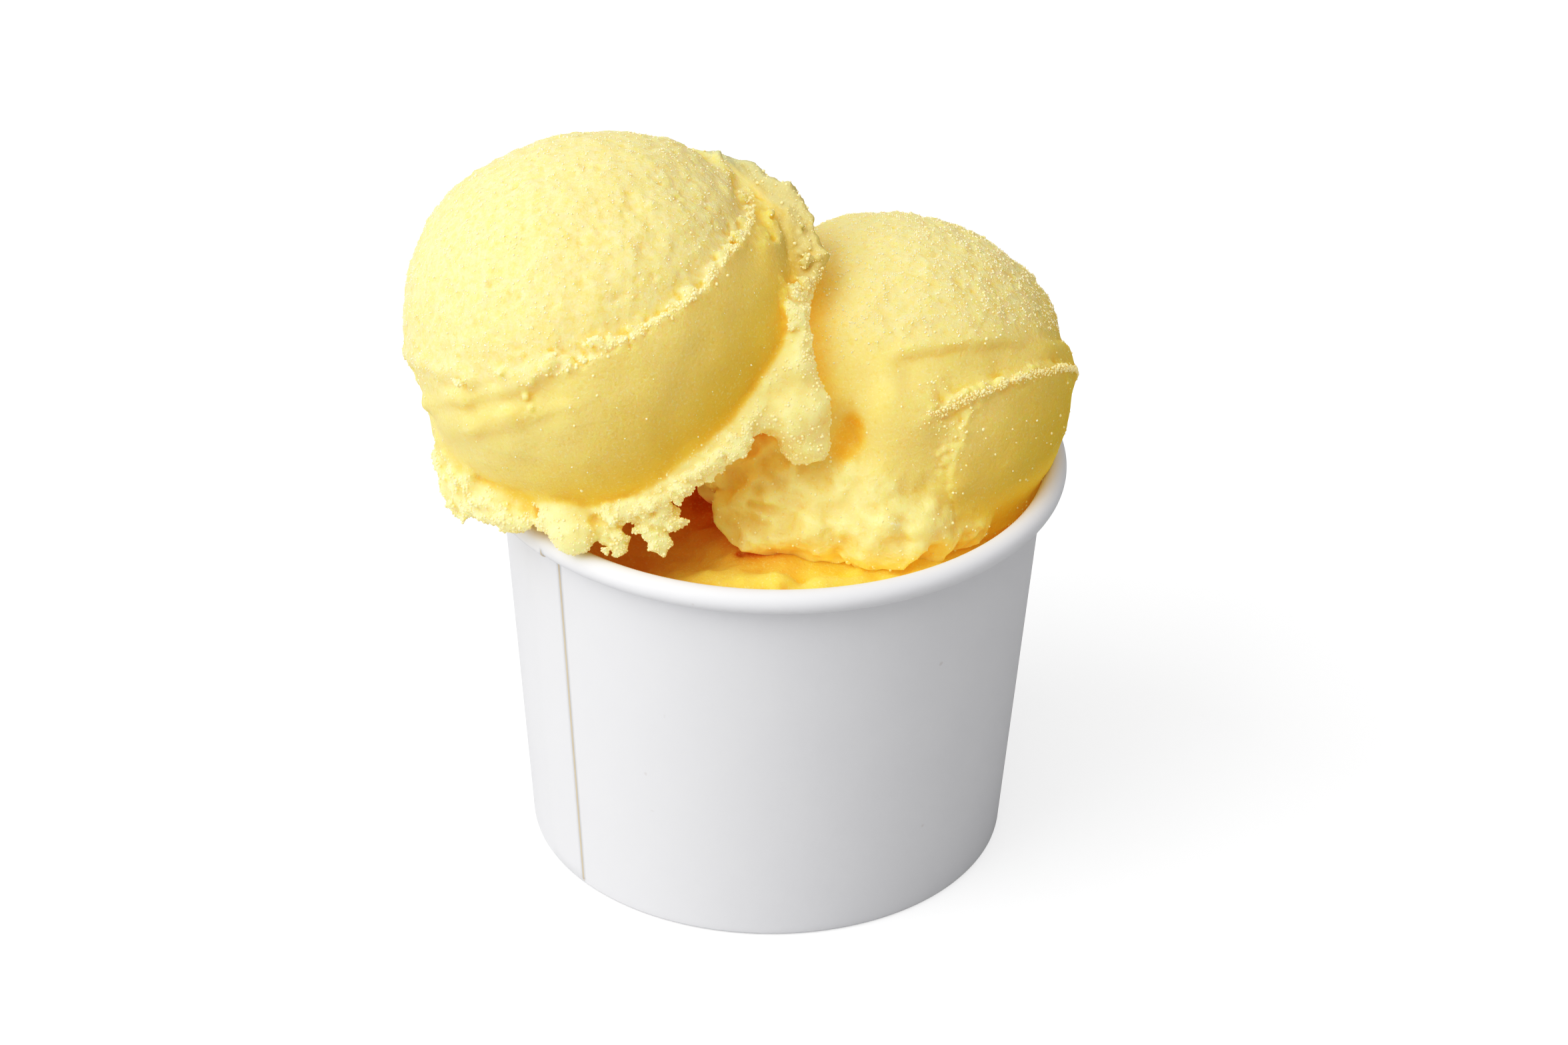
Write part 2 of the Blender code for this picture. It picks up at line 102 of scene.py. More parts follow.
# Right scoop
RIGHT_CENTRE = np.array((17.4, 2, 72.5))
RIGHT_RADIUS = 28.2
RIGHT_STEP = ((0.163, -0.532, -0.831), -0.158)
RIGHT_CREST = ((0.455, -0.574, -0.68), 0.321)
RIGHT_TEAR = ((0.742, -0.669, 0.034), 0.863)
RIGHT_BULGES = (((-0.21, 0.5, 0.84), 0.25, 0.9), ((0.8, 0.3, 0.52), 0.22, 0.8))
# Swellings and dents of its front: height, then place and width across and up, in radii
RIGHT_FRONT = (
    (-3, -0.228, 0.065, 0.27, 0.12), (-1.2, -0.22, 0.16, 0.29, 0.24), (-0.8, -0.1, 0.14, 0.54, 0.09),
    (0.8, -0.02, 0.09, 0.52, 0.07), (0.8, 0.08, 0.16, 0.42, 0.13),
)


def smoothstep(low, high, value):
    t = np.clip((value - low) / (high - low), 0, 1)
    return t * t * (3 - 2 * t)


def bell(value, width):
    return np.exp(-((value / width) ** 2))


def smooth_min(first, second, blend):
    near = np.maximum(blend - np.abs(first - second), 0) / blend
    return np.minimum(first, second) - near * near * (blend / 4)


def smooth_max(first, second, blend):
    return -smooth_min(-first, -second, blend)


def unit(vector):
    vector = np.asarray(vector, float)
    return vector / np.linalg.norm(vector)


def table_at(table, place):
    """A table's value at places between its rows."""
    return np.interp(place, *zip(*table))


def directions(points, centre):
    offset = points - centre
    return (offset / np.linalg.norm(offset, axis=1)[:, None]).T


# Grids

def graded(*stops):
    """Grid lines from (place, pitch) stops: each pitch holds as far as the next place."""
    runs = []
    for (start, pitch), (end, _) in zip(stops, stops[1:]):
        runs.append(np.linspace(start, end, round((end - start) / pitch), endpoint=False))
    return np.append(np.concatenate(runs), stops[-1][0]).astype(np.float32)


class Field:
    """Signed distance in mm, negative inside, on a box grid whose lines may lie closer in places."""

    def __init__(self, *lines):
        self.lines = lines
        self.value = np.full([len(line) for line in lines], FAR, np.float32)

    def axes(self, block=(slice(None),) * 3, centre=(0, 0, 0)):
        """Places along each axis from a centre, shaped to spread over the grid."""
        x, y, z = (line[part] - place for line, part, place in zip(self.lines, block, centre))
        return x[:, None, None], y[None, :, None], z[None, None, :]

    def picked(self, axes, near):
        return [np.broadcast_to(axis, self.value.shape)[near] for axis in axes]

    def block(self, low, high):
        parts = []
        for line, start, end in zip(self.lines, low, high):
            first = np.searchsorted(line, start)
            parts.append(slice(first, max(np.searchsorted(line, end), first)))
        return tuple(parts)

    def noise(self, spacing, seed):
        """Smooth noise about 0 with a spread of 1, as wide as the spacing."""
        counts = [int((line[-1] - line[0]) / spacing) + 5 for line in self.lines]
        values = np.random.default_rng(seed).standard_normal(counts).astype(np.float32)
        for line, count in zip(self.lines, counts):
            values = np.tensordot(values, spline_weights(line, spacing, count), axes=(0, 1))
        return values * 3

    def sample(self, array, points):
        """The array's value at points in mm."""
        result = np.zeros(len(points), np.float32)
        lows, parts = zip(*(between_lines(*pair) for pair in zip(self.lines, points.T)))
        for corner in range(8):
            ups = [corner >> i & 1 for i in range(3)]
            weight = 1
            for up, part in zip(ups, parts):
                weight = weight * (part if up else 1 - part)
            i, j, k = (low + up for low, up in zip(lows, ups))
            result += weight * array[i, j, k]
        return result

    def on_lines(self, other):
        """This field's values on another field's grid, FAR outside its own."""
        values = self.value
        for own, wanted in zip(self.lines, other.lines):
            low, part = between_lines(own, wanted)
            part = part.astype(np.float32)
            values = np.moveaxis(values, 0, -1)
            values = values[..., low] * (1 - part) + values[..., low + 1] * part
            values[..., (wanted < own[0]) | (wanted > own[-1])] = FAR
        return values


def between_lines(line, places):
    """The grid line below each place, and how far it is on to the next."""
    place = np.interp(places, line, np.arange(len(line)))
    low = np.minimum(place.astype(int), len(line) - 2)
    return low, place - low


def spline_weights(line, spacing, count):
    """Cubic B-spline weights of a row of lattice points for each grid line."""
    place = (line - line[0]) / spacing
    base = np.floor(place).astype(int)
    t = place - base
    weights = np.zeros((len(line), count), np.float32)
    rows = np.arange(len(line))
    shares = ((1 - t) ** 3, 3 * t**3 - 6 * t**2 + 4, -3 * t**3 + 3 * t**2 + 3 * t + 1, t**3)
    for step, share in enumerate(shares):
        weights[rows, base + step] = share / 6
    return weights


def blurred(values, passes):
    for _ in range(passes):
        for axis in range(3):
            inner = np.moveaxis(values, axis, 0)
            soft = inner.copy()
            soft[1:-1] = (inner[:-2] + 2 * inner[1:-1] + inner[2:]) / 4
            values = np.moveaxis(soft, 0, axis)
    return values


# Shapes added to a field

def add_lobe(field, start, end, start_radius, end_radius, blend, lumps, cut=False):
    """A round ended, tapered lobe, roughened by lumps, or its hollow."""
    start, end = np.asarray(start, float), np.asarray(end, float)
    reach = max(start_radius, end_radius) + blend + 1.5
    block = field.block(np.minimum(start, end) - reach, np.maximum(start, end) + reach)
    x, y, z = field.axes(block, start)
    along = end - start
    t = np.clip((x * along[0] + y * along[1] + z * along[2]) / (along @ along), 0, 1)
    x, y, z = x - t * along[0], y - t * along[1], z - t * along[2]
    shape = np.sqrt(x * x + y * y + z * z) - (start_radius + (end_radius - start_radius) * t)
    shape = shape - lumps[block]
    here = field.value[block]
    field.value[block] = smooth_max(here, -shape, blend) if cut else smooth_min(here, shape, blend)


def add_lobes(field, lobes, blend, lumps, cut=False):
    for lobe in lobes:
        add_lobe(field, *lobe, blend, lumps, cut)


def add_grain(field, centre, radius, blend=0.5):
    """One small round grain."""
    reach = radius + blend
    block = field.block(centre - reach, centre + reach)
    x, y, z = field.axes(block, centre)
    shape = np.sqrt(x * x + y * y + z * z) - radius
    field.value[block] = smooth_min(field.value[block], shape, blend)


def add_sprig(field, rng, start, direction, radius, steps):
    """A knobbly sprig of grains that shrink along a wandering line."""
    place = np.array(start, float)
    direction = unit(direction)
    for _ in range(steps):
        add_grain(field, place, radius)
        direction = unit(direction + 0.7 * rng.standard_normal(3))
        place = place + direction * radius * 1.15
        radius *= 0.86


def from_circle(direction, circle, radius):
    """Distance over the ball from a fold's circle, positive on the side its axis points to."""
    axis = unit(circle[0])
    level = sum(part * share for part, share in zip(direction, axis))
    return (np.arcsin(np.clip(level, -1, 1)) - math.asin(circle[1])) * radius


def bulged(direction, bulges):
    total = 0
    for toward, width, height in bulges:
        away = sum((part - share) ** 2 for part, share in zip(direction, unit(toward)))
        total = total + height * np.exp(-away / width**2)
    return total


def on_circle(centre, radius, circle, angle, across=0, height=0):
    """A point of a fold's circle. Angle 0 is where it runs level at the front."""
    axis, level = unit(circle[0]), circle[1]
    side = unit(np.cross(axis, (0, 0, 1)))
    other = np.cross(axis, side)
    tilt = math.asin(level) + across / radius
    turn = math.radians(angle)
    around = side * math.cos(turn) + other * math.sin(turn)
    return centre + (axis * math.sin(tilt) + around * math.cos(tilt)) * (radius + height)


def out_of_room(field, gap, over_rim=False):
    """Distance out of the room for sorbet: off the paper, and inside the wall or also over the rim."""
    x, y, z = field.axes()
    radius = np.sqrt(x * x + y * y)
    past_wall = radius - wall_radius(z)
    half = PAPER / 2 + gap
    curl = CURL_RADIUS + half - np.hypot(radius - CURL[0], z - CURL[1])
    if over_rim:
        return np.where(z < CURL[1], np.maximum(curl, half - np.abs(past_wall)), curl)
    out = np.maximum(np.where(z < CURL[1], past_wall + half, -FAR), curl)
    return np.where((radius > CURL[0]) & (z < CURL[1]), FAR, out)


# Meshes

def linked(name, data):
    obj = bpy.data.objects.new(name, data)
    bpy.context.scene.collection.objects.link(obj)
    return obj


def skin(field):
    """The field's surface as points in mm and quads that face out, its biggest part alone."""
    grid = openvdb.FloatGrid(FAR)
    grid.copyFromArray(np.clip(field.value, -FAR, FAR))
    points, quads = grid.convertToQuads(0.0)
    quads = quads.astype(np.int64)
    columns = []
    for i, line in enumerate(field.lines):
        columns.append(np.interp(points[:, i], np.arange(len(line)), line))
    points = np.stack(columns, 1)
    a, b, c, d = (points[quads[:, i]] for i in range(4))
    if np.einsum("ij,ij->", a, np.cross(b - a, c - a) + np.cross(c - a, d - a)) < 0:
        quads = quads[:, ::-1]
    label = np.arange(len(points))
    while True:
        lower = label.copy()
        least = label[quads].min(1)
        for i in range(4):
            np.minimum.at(lower, quads[:, i], least)
        lower = lower[lower]
        if (lower == label).all():
            break
        label = lower
    kept = label == np.bincount(label).argmax()
    quads = quads[kept[quads[:, 0]]]
    return points[kept], (np.cumsum(kept) - 1)[quads]


def mesh_from(name, points, faces):
    """A mesh object in metres, from points in mm from the cup's axis and faces of one size."""
    mesh = bpy.data.meshes.new(name)
    count, corners = faces.shape
    mesh.vertices.add(len(points))
    mesh.vertices.foreach_set("co", ((points + (AXIS_X, 0, 0)) * MM).astype(np.float32).ravel())
    mesh.loops.add(count * corners)
    mesh.loops.foreach_set("vertex_index", faces.astype(np.int32).ravel())
    mesh.polygons.add(count)
    mesh.polygons.foreach_set("loop_start", np.arange(0, count * corners, corners, dtype=np.int32))
    mesh.update(calc_edges=True)
    mesh.validate()
    mesh.shade_smooth()
    return linked(name, mesh)


def sorbet_piece(name, field, triangles):
    """The field's surface as an object, with faces taken away where it is flattest."""
    obj = mesh_from(name, *skin(field))
    thin = obj.modifiers.new("Thin", "DECIMATE")
    thin.ratio = min(1, triangles / (2 * len(obj.data.polygons)))
    graph = bpy.context.evaluated_depsgraph_get()
    mesh = bpy.data.meshes.new_from_object(obj.evaluated_get(graph))
    obj.modifiers.clear()
    obj.data = mesh
    mesh.shade_smooth()
    return obj


def places_of(obj):
    """Each point's place in mm from the cup's axis."""
    points = np.empty(len(obj.data.vertices) * 3, np.float32)
    obj.data.vertices.foreach_get("co", points)
    return points.reshape(-1, 3) / MM - np.array((AXIS_X, 0, 0))


def normals_of(obj):
    normals = np.empty(len(obj.data.vertices) * 3, np.float32)
    obj.data.vertex_normals.foreach_get("vector", normals)
    return normals.reshape(-1, 3)


def paint(obj, **values):
    """Writes each value or array as a number per point, for the materials."""
    for name, value in values.items():
        attribute = obj.data.attributes.new(name, "FLOAT", "POINT")
        attribute.data.foreach_set("value", np.full(len(attribute.data), np.clip(value, 0, 1), np.float32))


def near_any(points, spots):
    """1 in the middle of each (place, radius) spot, fading out round its radius."""
    value = np.zeros(len(points))
    for place, radius in spots:
        away = np.linalg.norm(points - np.array(place), axis=1) / radius
        value = np.maximum(value, smoothstep(1.4, 0.2, away))
    return value


# Left scoop

def along_face(x, y, z):
    """Depth behind the plane of the left scoop's brim."""
    return x * LEFT_FACE[0] + y * LEFT_FACE[1] + z * LEFT_FACE[2]


def ring_angle(x, y, z):
    """Degrees round the left scoop's brim, from its left over its top."""
    across = x * RING_LEFT[0] + y * RING_LEFT[1] + z * RING_LEFT[2]
    up = x * RING_BACK[0] + y * RING_BACK[1] + z * RING_BACK[2]
    return np.degrees(np.arctan2(up, across)) % 360


def left_crest(direction):
    """Distance over the ball from the left crest, which bends up towards its right end."""
    x, y, _ = direction
    crest = from_circle(direction, LEFT_CREST, LEFT_RADIUS)
    return crest + 1.2 * smoothstep(0.55, 0.7, x) + 0.9 * smoothstep(0.08, 0.3, y)


def left_crest_strength(direction):
    x, y, _ = direction
    return smoothstep(-0.3, 0.05, x) * smoothstep(0.42, 0.12, y)


def left_relief(direction, ragged):
    """How far the left scoop stands off its ball: crest, shoulder, valley and fold, and the foot's swell."""
    x, y, z = direction
    crest = left_crest(direction) + ragged
    strength = left_crest_strength(direction)
    relief = strength * (0.35 + 0.55 * bell(crest, 7)) * smoothstep(-0.35, 0.35, crest)
    relief += strength * 0.1 * bell(crest - 0.3, 0.6)
    relief -= 0.25 * bell(crest + 2.2, 2.4) * strength
    rolled = table_at(SHOULDER, ring_angle(x, y, z))
    relief += rolled * smoothstep(0.3, 4.5, crest) * smoothstep(-0.5, -0.05, along_face(x, y, z))
    valley = from_circle(direction, LEFT_VALLEY, LEFT_RADIUS)
    relief -= 0.4 * bell(valley, 3) * smoothstep(0.05, -0.6, x)
    fold = from_circle(direction, LEFT_FOLD, LEFT_RADIUS)
    relief += 0.35 * bell(fold, 2.4) * smoothstep(0.2, -0.5, x)
    foot = smoothstep(-0.42, -0.02, along_face(x, y, z)) * smoothstep(-0.45, -0.85, x)
    relief += 2.4 * foot * smoothstep(-0.42, -0.66, z)
    return relief + bulged(direction, LEFT_BULGES)


def left_frost(direction):
    """Where the left dome is rough with frost: above the crest."""
    crest = left_crest(direction)
    valley = from_circle(direction, LEFT_VALLEY, LEFT_RADIUS)
    strength = smoothstep(-0.5, 0.1, direction[0])
    above = smoothstep(0.6, -0.6, crest)
    return above * strength + smoothstep(2, -4, valley) * (1 - strength)


def ring_point(angle, beyond, ahead):
    """A point of the torn brim: degrees round it, mm beyond the ball and mm ahead of its plane."""
    turn = math.radians(angle)
    out = RING_LEFT * math.cos(turn) + RING_BACK * math.sin(turn)
    return LEFT_CENTRE + out * (LEFT_RADIUS + beyond) - LEFT_FACE * ahead


def chain(*knots):
    """Lobes from knot to knot, each knot its place and its radius."""
    return tuple((start[:3], end[:3], start[3], end[3]) for start, end in zip(knots, knots[1:]))


# Lobes and hollows: start, end and the radius at each
CLUSTER = (
    ((-44.3, -14, 76), (-47.4, -15.8, 71.8), 4.8, 2.8),
    ((-47.4, -15.8, 71.8), (-46.7, -19.2, 66.8), 2.6, 2.2),
    ((-46.8, -18.6, 67.5), (-45.6, -20.2, 65), 2.2, 1.9),
    ((-44, -18, 74.5), (-44.8, -21.4, 67.8), 4.2, 2.9),
    ((-41, -21, 74), (-41.4, -24.8, 68.5), 4.2, 2.4),
    ((-38, -24, 73.5), (-38, -27.4, 69.8), 3.6, 1.8),
    ((-43.2, -23.6, 71.8), (-44, -25, 74.2), 1.7, 0.8),
    ((-43.2, -23.8, 71.6), (-39.4, -27.2, 71.2), 1.7, 1),
    ((-41, -26.4, 69.8), (-37.4, -29.2, 69), 1.8, 1.5),
)
RIM_LOBES = (
    ((-32.4, -28.5, 72.7), (-30.6, -32.2, 70.4), 3, 2.4),
    ((-30.6, -32.2, 70.4), (-28.9, -33.9, 68.8), 2.6, 2.7),
    ((-28.6, -31.5, 71.4), (-27.4, -33.4, 69.9), 2.4, 1.7),
)
FINGERS = (
    ((-26.4, -30.8, 72.6), (-24.3, -33, 70.4), 2.2, 1.6),
    *chain((-24.3, -33, 70.4, 1.5), (-22.2, -34.4, 68.8, 1), (-22.3, -34.8, 67.4, 0.9)),
    ((-24.6, -33.2, 69.6), (-24, -34.2, 68.2), 1.2, 0.8),
    ((-19.6, -31.2, 73.6), (-17.6, -34.4, 71.8), 2.4, 1.5),
    *chain((-17.6, -34.4, 71.8, 1.4), (-17.2, -35.6, 69.8, 1.2), (-16.9, -35.8, 67.8, 1)),
    ((-17.2, -35.6, 69.6), (-15.6, -35.7, 69), 0.9, 0.8),
    *chain((-16.6, -34.2, 73.6, 1.3), (-15.2, -35, 72.2, 0.8), (-13.8, -34.8, 71.4, 0.8)),
)
DROP = (
    *chain((2.6, -20.8, 94.6, 1.7), (2.8, -22.4, 91.6, 2.5), (4.1, -24.4, 86, 3.7), (4.8, -25.4, 80.6, 3.5)),
    *chain((1, -22.7, 92, 0.9), (-1.2, -25.2, 89.3, 1.2), (-3.4, -27.6, 86.4, 1.6), (-3.6, -28.2, 84.6, 1.5)),
    ((-2.4, -26.8, 85.8), (2.4, -25.4, 84), 2.2, 3.5),
    ((0.6, -23.6, 90), (1, -25.4, 86.6), 2.4, 3),
)
CORAL_FLAP = (
    ((3.2, -20.6, 94.8), (3, -18.4, 98), 1.9, 2.1),
    ((2, -18.8, 97.6), (0.3, -17.9, 99), 1.5, 1),
    ((0.3, -17.9, 99), (-0.4, -17.2, 100.2), 0.9, 0.5),
    ((1.8, -17.6, 99), (0.9, -15.9, 101.3), 1.2, 0.6),
    ((2.4, -20, 96.4), (1, -19.8, 96.2), 1.4, 0.8),
    ((2.4, -17.6, 98.8), (2.6, -16.4, 100.4), 1.3, 0.7),
)
CREASES = (
    *chain((-41.4, -29.2, 74.4, 0.7), (-38.4, -30.6, 72.6, 1.3), (-34, -31.2, 71, 0.9), (-30.5, -30.8, 69.6, 0.6)),
    *chain(
        (-6.9, 4.5, 111.6, 0.3), (-4.6, 1.6, 110.5, 0.5), (-2.5, -1.4, 108.9, 0.6),
        (0.6, -6.2, 107.8, 0.7), (1.1, -8.4, 106.7, 0.6), (2, -11.3, 103.7, 0.3),
    ),
)
# Lines over the ball, point by point: the low waves at its left, and the ridge at its top
WAVES = (
    ((-54.4, -14.3, 88.1), (-50.7, -24.9, 91.8), (-44.3, -31.9, 93.6), (-38.9, -35.2, 95.4), (-32.7, -36.7, 98.3)),
    ((-51.4, -20.9, 82.9), (-45.2, -31.3, 89.9), (-39.7, -35, 93.3), (-34.3, -36.8, 96.1), (-30, -37, 98.6)),
    ((-48.6, -20.2, 76.6), (-43.2, -32.3, 85.9), (-37.5, -36, 89.6), (-30, -38, 92.9), (-26.5, -38.1, 94.5)),
)
RIDGE = ((-9, 2.2, 113.2), (-8.2, 0.4, 111.5), (-7.9, -6.6, 111.3), (-8.3, -11, 110.6))


def make_left(field):
    """Fills the left scoop's field, and gives the distance to its bare ball."""
    x, y, z = field.axes(centre=LEFT_CENTRE)
    behind = along_face(x, y, z)
    wide = field.noise(9, 1)
    middle = field.noise(2.6, 2)
    lumps = field.noise(1.4, 3)
    grain = field.noise(0.7, 4)
    spread = np.sqrt(np.maximum(x * x + y * y + z * z - behind * behind, 0))
    stretch = np.maximum(behind, 0) * (LEFT_RADIUS / (LEFT_FACE_DEPTH * (1 + 0.08 * wide)) - 1)
    x, y, z = (axis + stretch * part for axis, part in zip((x, y, z), LEFT_FACE))
    length = np.sqrt(x * x + y * y + z * z)
    value = length - LEFT_RADIUS
    near = np.nonzero(np.abs(value) < 6)
    direction = [axis[near] / length[near] for axis in (x, y, z)]
    frost = left_frost(direction)
    relief = left_relief(direction, 0.3 * lumps[near] + 0.25 * grain[near])
    relief += 0.2 * wide[near] + 0.1 * middle[near]
    relief += (0.02 + 0.06 * frost) * grain[near] + (0.012 + 0.035 * frost) * lumps[near]
    relief += 0.03 * frost * field.noise(0.5, 6)[near]
    relief -= 0.22 * frost * smoothstep(1.3, 2.4, field.noise(0.85, 5)[near])
    value[near] -= relief
    field.value = value.astype(np.float32)
    for start, end in zip(RIDGE, RIDGE[1:]):
        add_lobe(field, start, end, 0.6, 0.5, 2.2, 0.15 * lumps)
    for i, wave in enumerate(WAVES):
        inward = [np.array(place) + unit(LEFT_CENTRE - np.array(place)) * (0.55 + 0.15 * i) for place in wave]
        for start, end in zip(inward, inward[1:]):
            add_lobe(field, start, end, 0.5, 0.5, 2, 0.22 * lumps + 0.15 * middle)
    bare = field.value.copy()
    add_left_brim(field, behind, spread, wide, middle, lumps, grain)
    add_lobes(field, CLUSTER, 1.3, 0.3 * middle + 0.17 * lumps + 0.08 * grain)
    add_lobes(field, CORAL_FLAP + FINGERS, 0.9, 0.3 * middle + 0.26 * lumps + 0.13 * grain)
    add_lobes(field, DROP + RIM_LOBES, 2.2, 0.2 * middle + 0.06 * lumps + 0.03 * grain)
    add_lobes(field, CREASES, 0.6, 0.2 * lumps, cut=True)
    add_left_crumbs(field)
    field.value = smooth_max(field.value, out_of_room(field, 0.05, over_rim=True), 0.3)
    return bare


def add_left_brim(field, behind, spread, wide, middle, lumps, grain):
    """The torn brim round the scoop's widest line, thin and ragged at its edge."""
    near = np.nonzero((np.abs(behind) < 7) & (np.abs(spread - LEFT_RADIUS) < 11))
    angle = ring_angle(*field.picked(field.axes(centre=LEFT_CENTRE), near))
    calm = smoothstep(106, 116, angle) * smoothstep(190, 172, angle)
    edge = LEFT_RADIUS + table_at(BRIM_WIDTHS, angle)
    edge += (1 - 0.35 * calm) * (0.45 * middle[near] + 0.42 * lumps[near] + 0.2 * grain[near])
    out = spread[near]
    beyond = smoothstep(LEFT_RADIUS - 2, LEFT_RADIUS + 4, out)
    plane = (1 - 0.6 * calm) * beyond * (0.7 * wide[near] + 0.3 * middle[near]) - table_at(BRIM_AHEAD, angle)
    torn = (1 - 0.65 * calm) * (0.17 * lumps[near] + 0.11 * grain[near] + 0.12 * middle[near])
    half = BRIM_THICKNESS / 2 - 0.4 * beyond + (0.35 + 0.65 * beyond) * torn
    sheet = smooth_max(np.abs(behind[near] - plane) - half, out - edge, 1.2)
    sheet = np.maximum(sheet, LEFT_RADIUS - BRIM_DEPTH - out)
    blend = 1.3 + 2.2 * bell(angle - 240, 26) + 2.4 * bell(angle - 150, 25)
    field.value[near] = smooth_min(field.value[near], sheet, blend)


def add_trail(field, rng, path, count, sizes, spread, out=(0, -0.5, 0.3), steps=3):
    """Sprigs of grains scattered along a path."""
    path = np.array(path, float)
    marks = np.append(0, np.cumsum(np.linalg.norm(np.diff(path, axis=0), axis=1)))
    for _ in range(count):
        at = rng.uniform(0, marks[-1])
        offset = rng.standard_normal(3) * spread
        place = np.array([np.interp(at, marks, line) for line in path.T]) + offset
        add_sprig(field, rng, place, offset + out, rng.uniform(*sizes), int(rng.integers(1, steps + 1)))


def add_crest_crumbs(field, rng, centre, radius, circle, angles, clumps, height, bend=None):
    """Clumps of fine grains along a fold's circle, with gaps between them."""
    for _ in range(clumps):
        middle = rng.uniform(*angles)
        size = rng.uniform(0.4, 1.1) * min(1, (angles[1] - middle) / 30)
        across = rng.normal(-0.1, 0.4)
        for _ in range(int(rng.integers(3, 12))):
            angle = middle + rng.normal(0, 0.85)
            off = across + rng.normal(0, 0.42)
            lift = height * size * rng.uniform(0.3, 1)
            place = on_circle(centre, radius, circle, angle, off, lift)
            if bend is not None:
                away = bend(directions(place[None], centre))[0] - off
                place = on_circle(centre, radius, circle, angle, off - away, lift)
            add_grain(field, place, rng.uniform(0.22, 0.48), 0.4)


CREST_SPOTS = (
    (-25.5, -36.4, 101.5), (-25.4, -36.6, 102.4), (-23.8, -36.2, 101.4), (-31.5, -36.8, 98.9), (-32.2, -36.9, 98.1),
    (-30.6, -36.7, 99.2), (-28.8, -37.1, 99.2), (-34.1, -36.8, 96.5), (-37.6, -35.6, 96), (-43.9, -32.3, 93),
    (-34.4, -37.2, 91.9),
)


def add_left_crumbs(field):
    """Grains on the crest, the brim and the lobes, and the sprigs along the torn edge."""
    rng = np.random.default_rng(11)
    add_crest_crumbs(field, rng, LEFT_CENTRE, LEFT_RADIUS, LEFT_CREST, (-132, -24), 40, 0.8, left_crest)
    for place in CREST_SPOTS:
        for _ in range(7):
            start = place + rng.standard_normal(3) * (0.7, 0.2, 0.5)
            add_sprig(field, rng, start, (0.3, -0.6, 0.8), rng.uniform(0.28, 0.5), 2)
    for _ in range(48):
        angle = rng.uniform(158, 198)
        low = table_at(SHOULDER, angle)
        beyond = low + rng.uniform(0.1, 0.85) * (table_at(BRIM_WIDTHS, angle) - low)
        place = ring_point(angle, beyond, table_at(BRIM_AHEAD, angle) + rng.normal(1.5, 0.4))
        add_sprig(field, rng, place, -LEFT_FACE + 0.4 * rng.standard_normal(3), rng.uniform(0.3, 0.7), 2)
    for _ in range(330):
        angle = rng.uniform(221, 264)
        beyond = table_at(BRIM_WIDTHS, angle) * rng.beta(2.2, 1.2)
        ahead = table_at(BRIM_AHEAD, angle) + rng.uniform(-1.4, 1.7)
        place = ring_point(angle, beyond, ahead)
        out = unit(place - LEFT_CENTRE) - LEFT_FACE * 0.6
        add_sprig(field, rng, place, out, rng.uniform(0.35, 0.75), int(rng.integers(1, 4)))
    for lobe in FINGERS:
        add_trail(field, rng, lobe[:2], 11, (0.25, 0.5), 0.7)
    for lobe in CORAL_FLAP:
        add_trail(field, rng, lobe[:2], 22, (0.25, 0.5), 0.8)
    for lobe in CLUSTER:
        start, end = np.array(lobe[0]), np.array(lobe[1])
        for _ in range(9):
            t = rng.uniform(0.3, 1.05)
            out = unit(rng.standard_normal(3) + (0, -0.7, 0.2))
            radius = lobe[2] + (lobe[3] - lobe[2]) * min(t, 1)
            place = start + (end - start) * t + out * radius * 0.97
            add_sprig(field, rng, place, out, rng.uniform(0.3, 0.62), int(rng.integers(1, 4)))


# Right scoop

def right_crest(direction):
    return from_circle(direction, RIGHT_CREST, RIGHT_RADIUS)


def right_relief(direction, ragged):
    """The right scoop's step, crest, torn edge, dimple and the side pressed in by the cup."""
    x, y, z = direction
    step = from_circle(direction, RIGHT_STEP, RIGHT_RADIUS)
    crest = right_crest(direction) + 0.6 * ragged
    tear = from_circle(direction, RIGHT_TEAR, RIGHT_RADIUS) + 0.8 * ragged
    far = smoothstep(0.55, 0.95, x)
    hollow = smoothstep(-0.07, 0.1, x) * smoothstep(-0.8, 0.8, step + 0.5 * ragged)
    relief = hollow * bell(step - 3, 5.5) * (-1.1 + 2.2 * far)
    relief += 0.2 * bell(step + 1.1, 0.9) * smoothstep(-0.03, 0.08, x) * smoothstep(0.75, 0.25, x)
    front = smoothstep(0.3, -0.1, y)
    relief += 0.6 * smoothstep(0.02, 0.3, x) * front * bell(crest, 0.9)
    relief += 0.3 * smoothstep(0.02, 0.3, x) * front * bell(crest - 1.4, 1.6)
    side = smoothstep(-0.5, 0.5, tear)
    lower = smoothstep(0.5, 0.35, z)
    relief -= 0.75 * (1 - side) * lower * bell(tear, 7)
    relief += 0.25 * bell(tear - 0.6, 0.6) * lower * smoothstep(0.05, 0.2, z)
    for height, at_x, wide_x, at_z, wide_z in RIGHT_FRONT:
        relief += height * bell(x - at_x, wide_x) * bell(z - at_z, wide_z) * (y < 0)
    relief -= 1.5 * smoothstep(0.1, -0.35, z) * smoothstep(0.3, 0.9, x)
    return relief + bulged(direction, RIGHT_BULGES)


def right_torn(direction):
    """Where the right scoop is spongy: left of its torn edge, below the crest."""
    x, y, z = direction
    return bell(x - 0.29, 0.1) * bell(z - 0.4, 0.12) * (y < 0)


def right_frost(direction):
    """Frost on the right dome: above the step, thickest on its top and far side."""
    step = from_circle(direction, RIGHT_STEP, RIGHT_RADIUS)
    return smoothstep(1, -5, step) * smoothstep(-0.75, 0.1, direction[0])


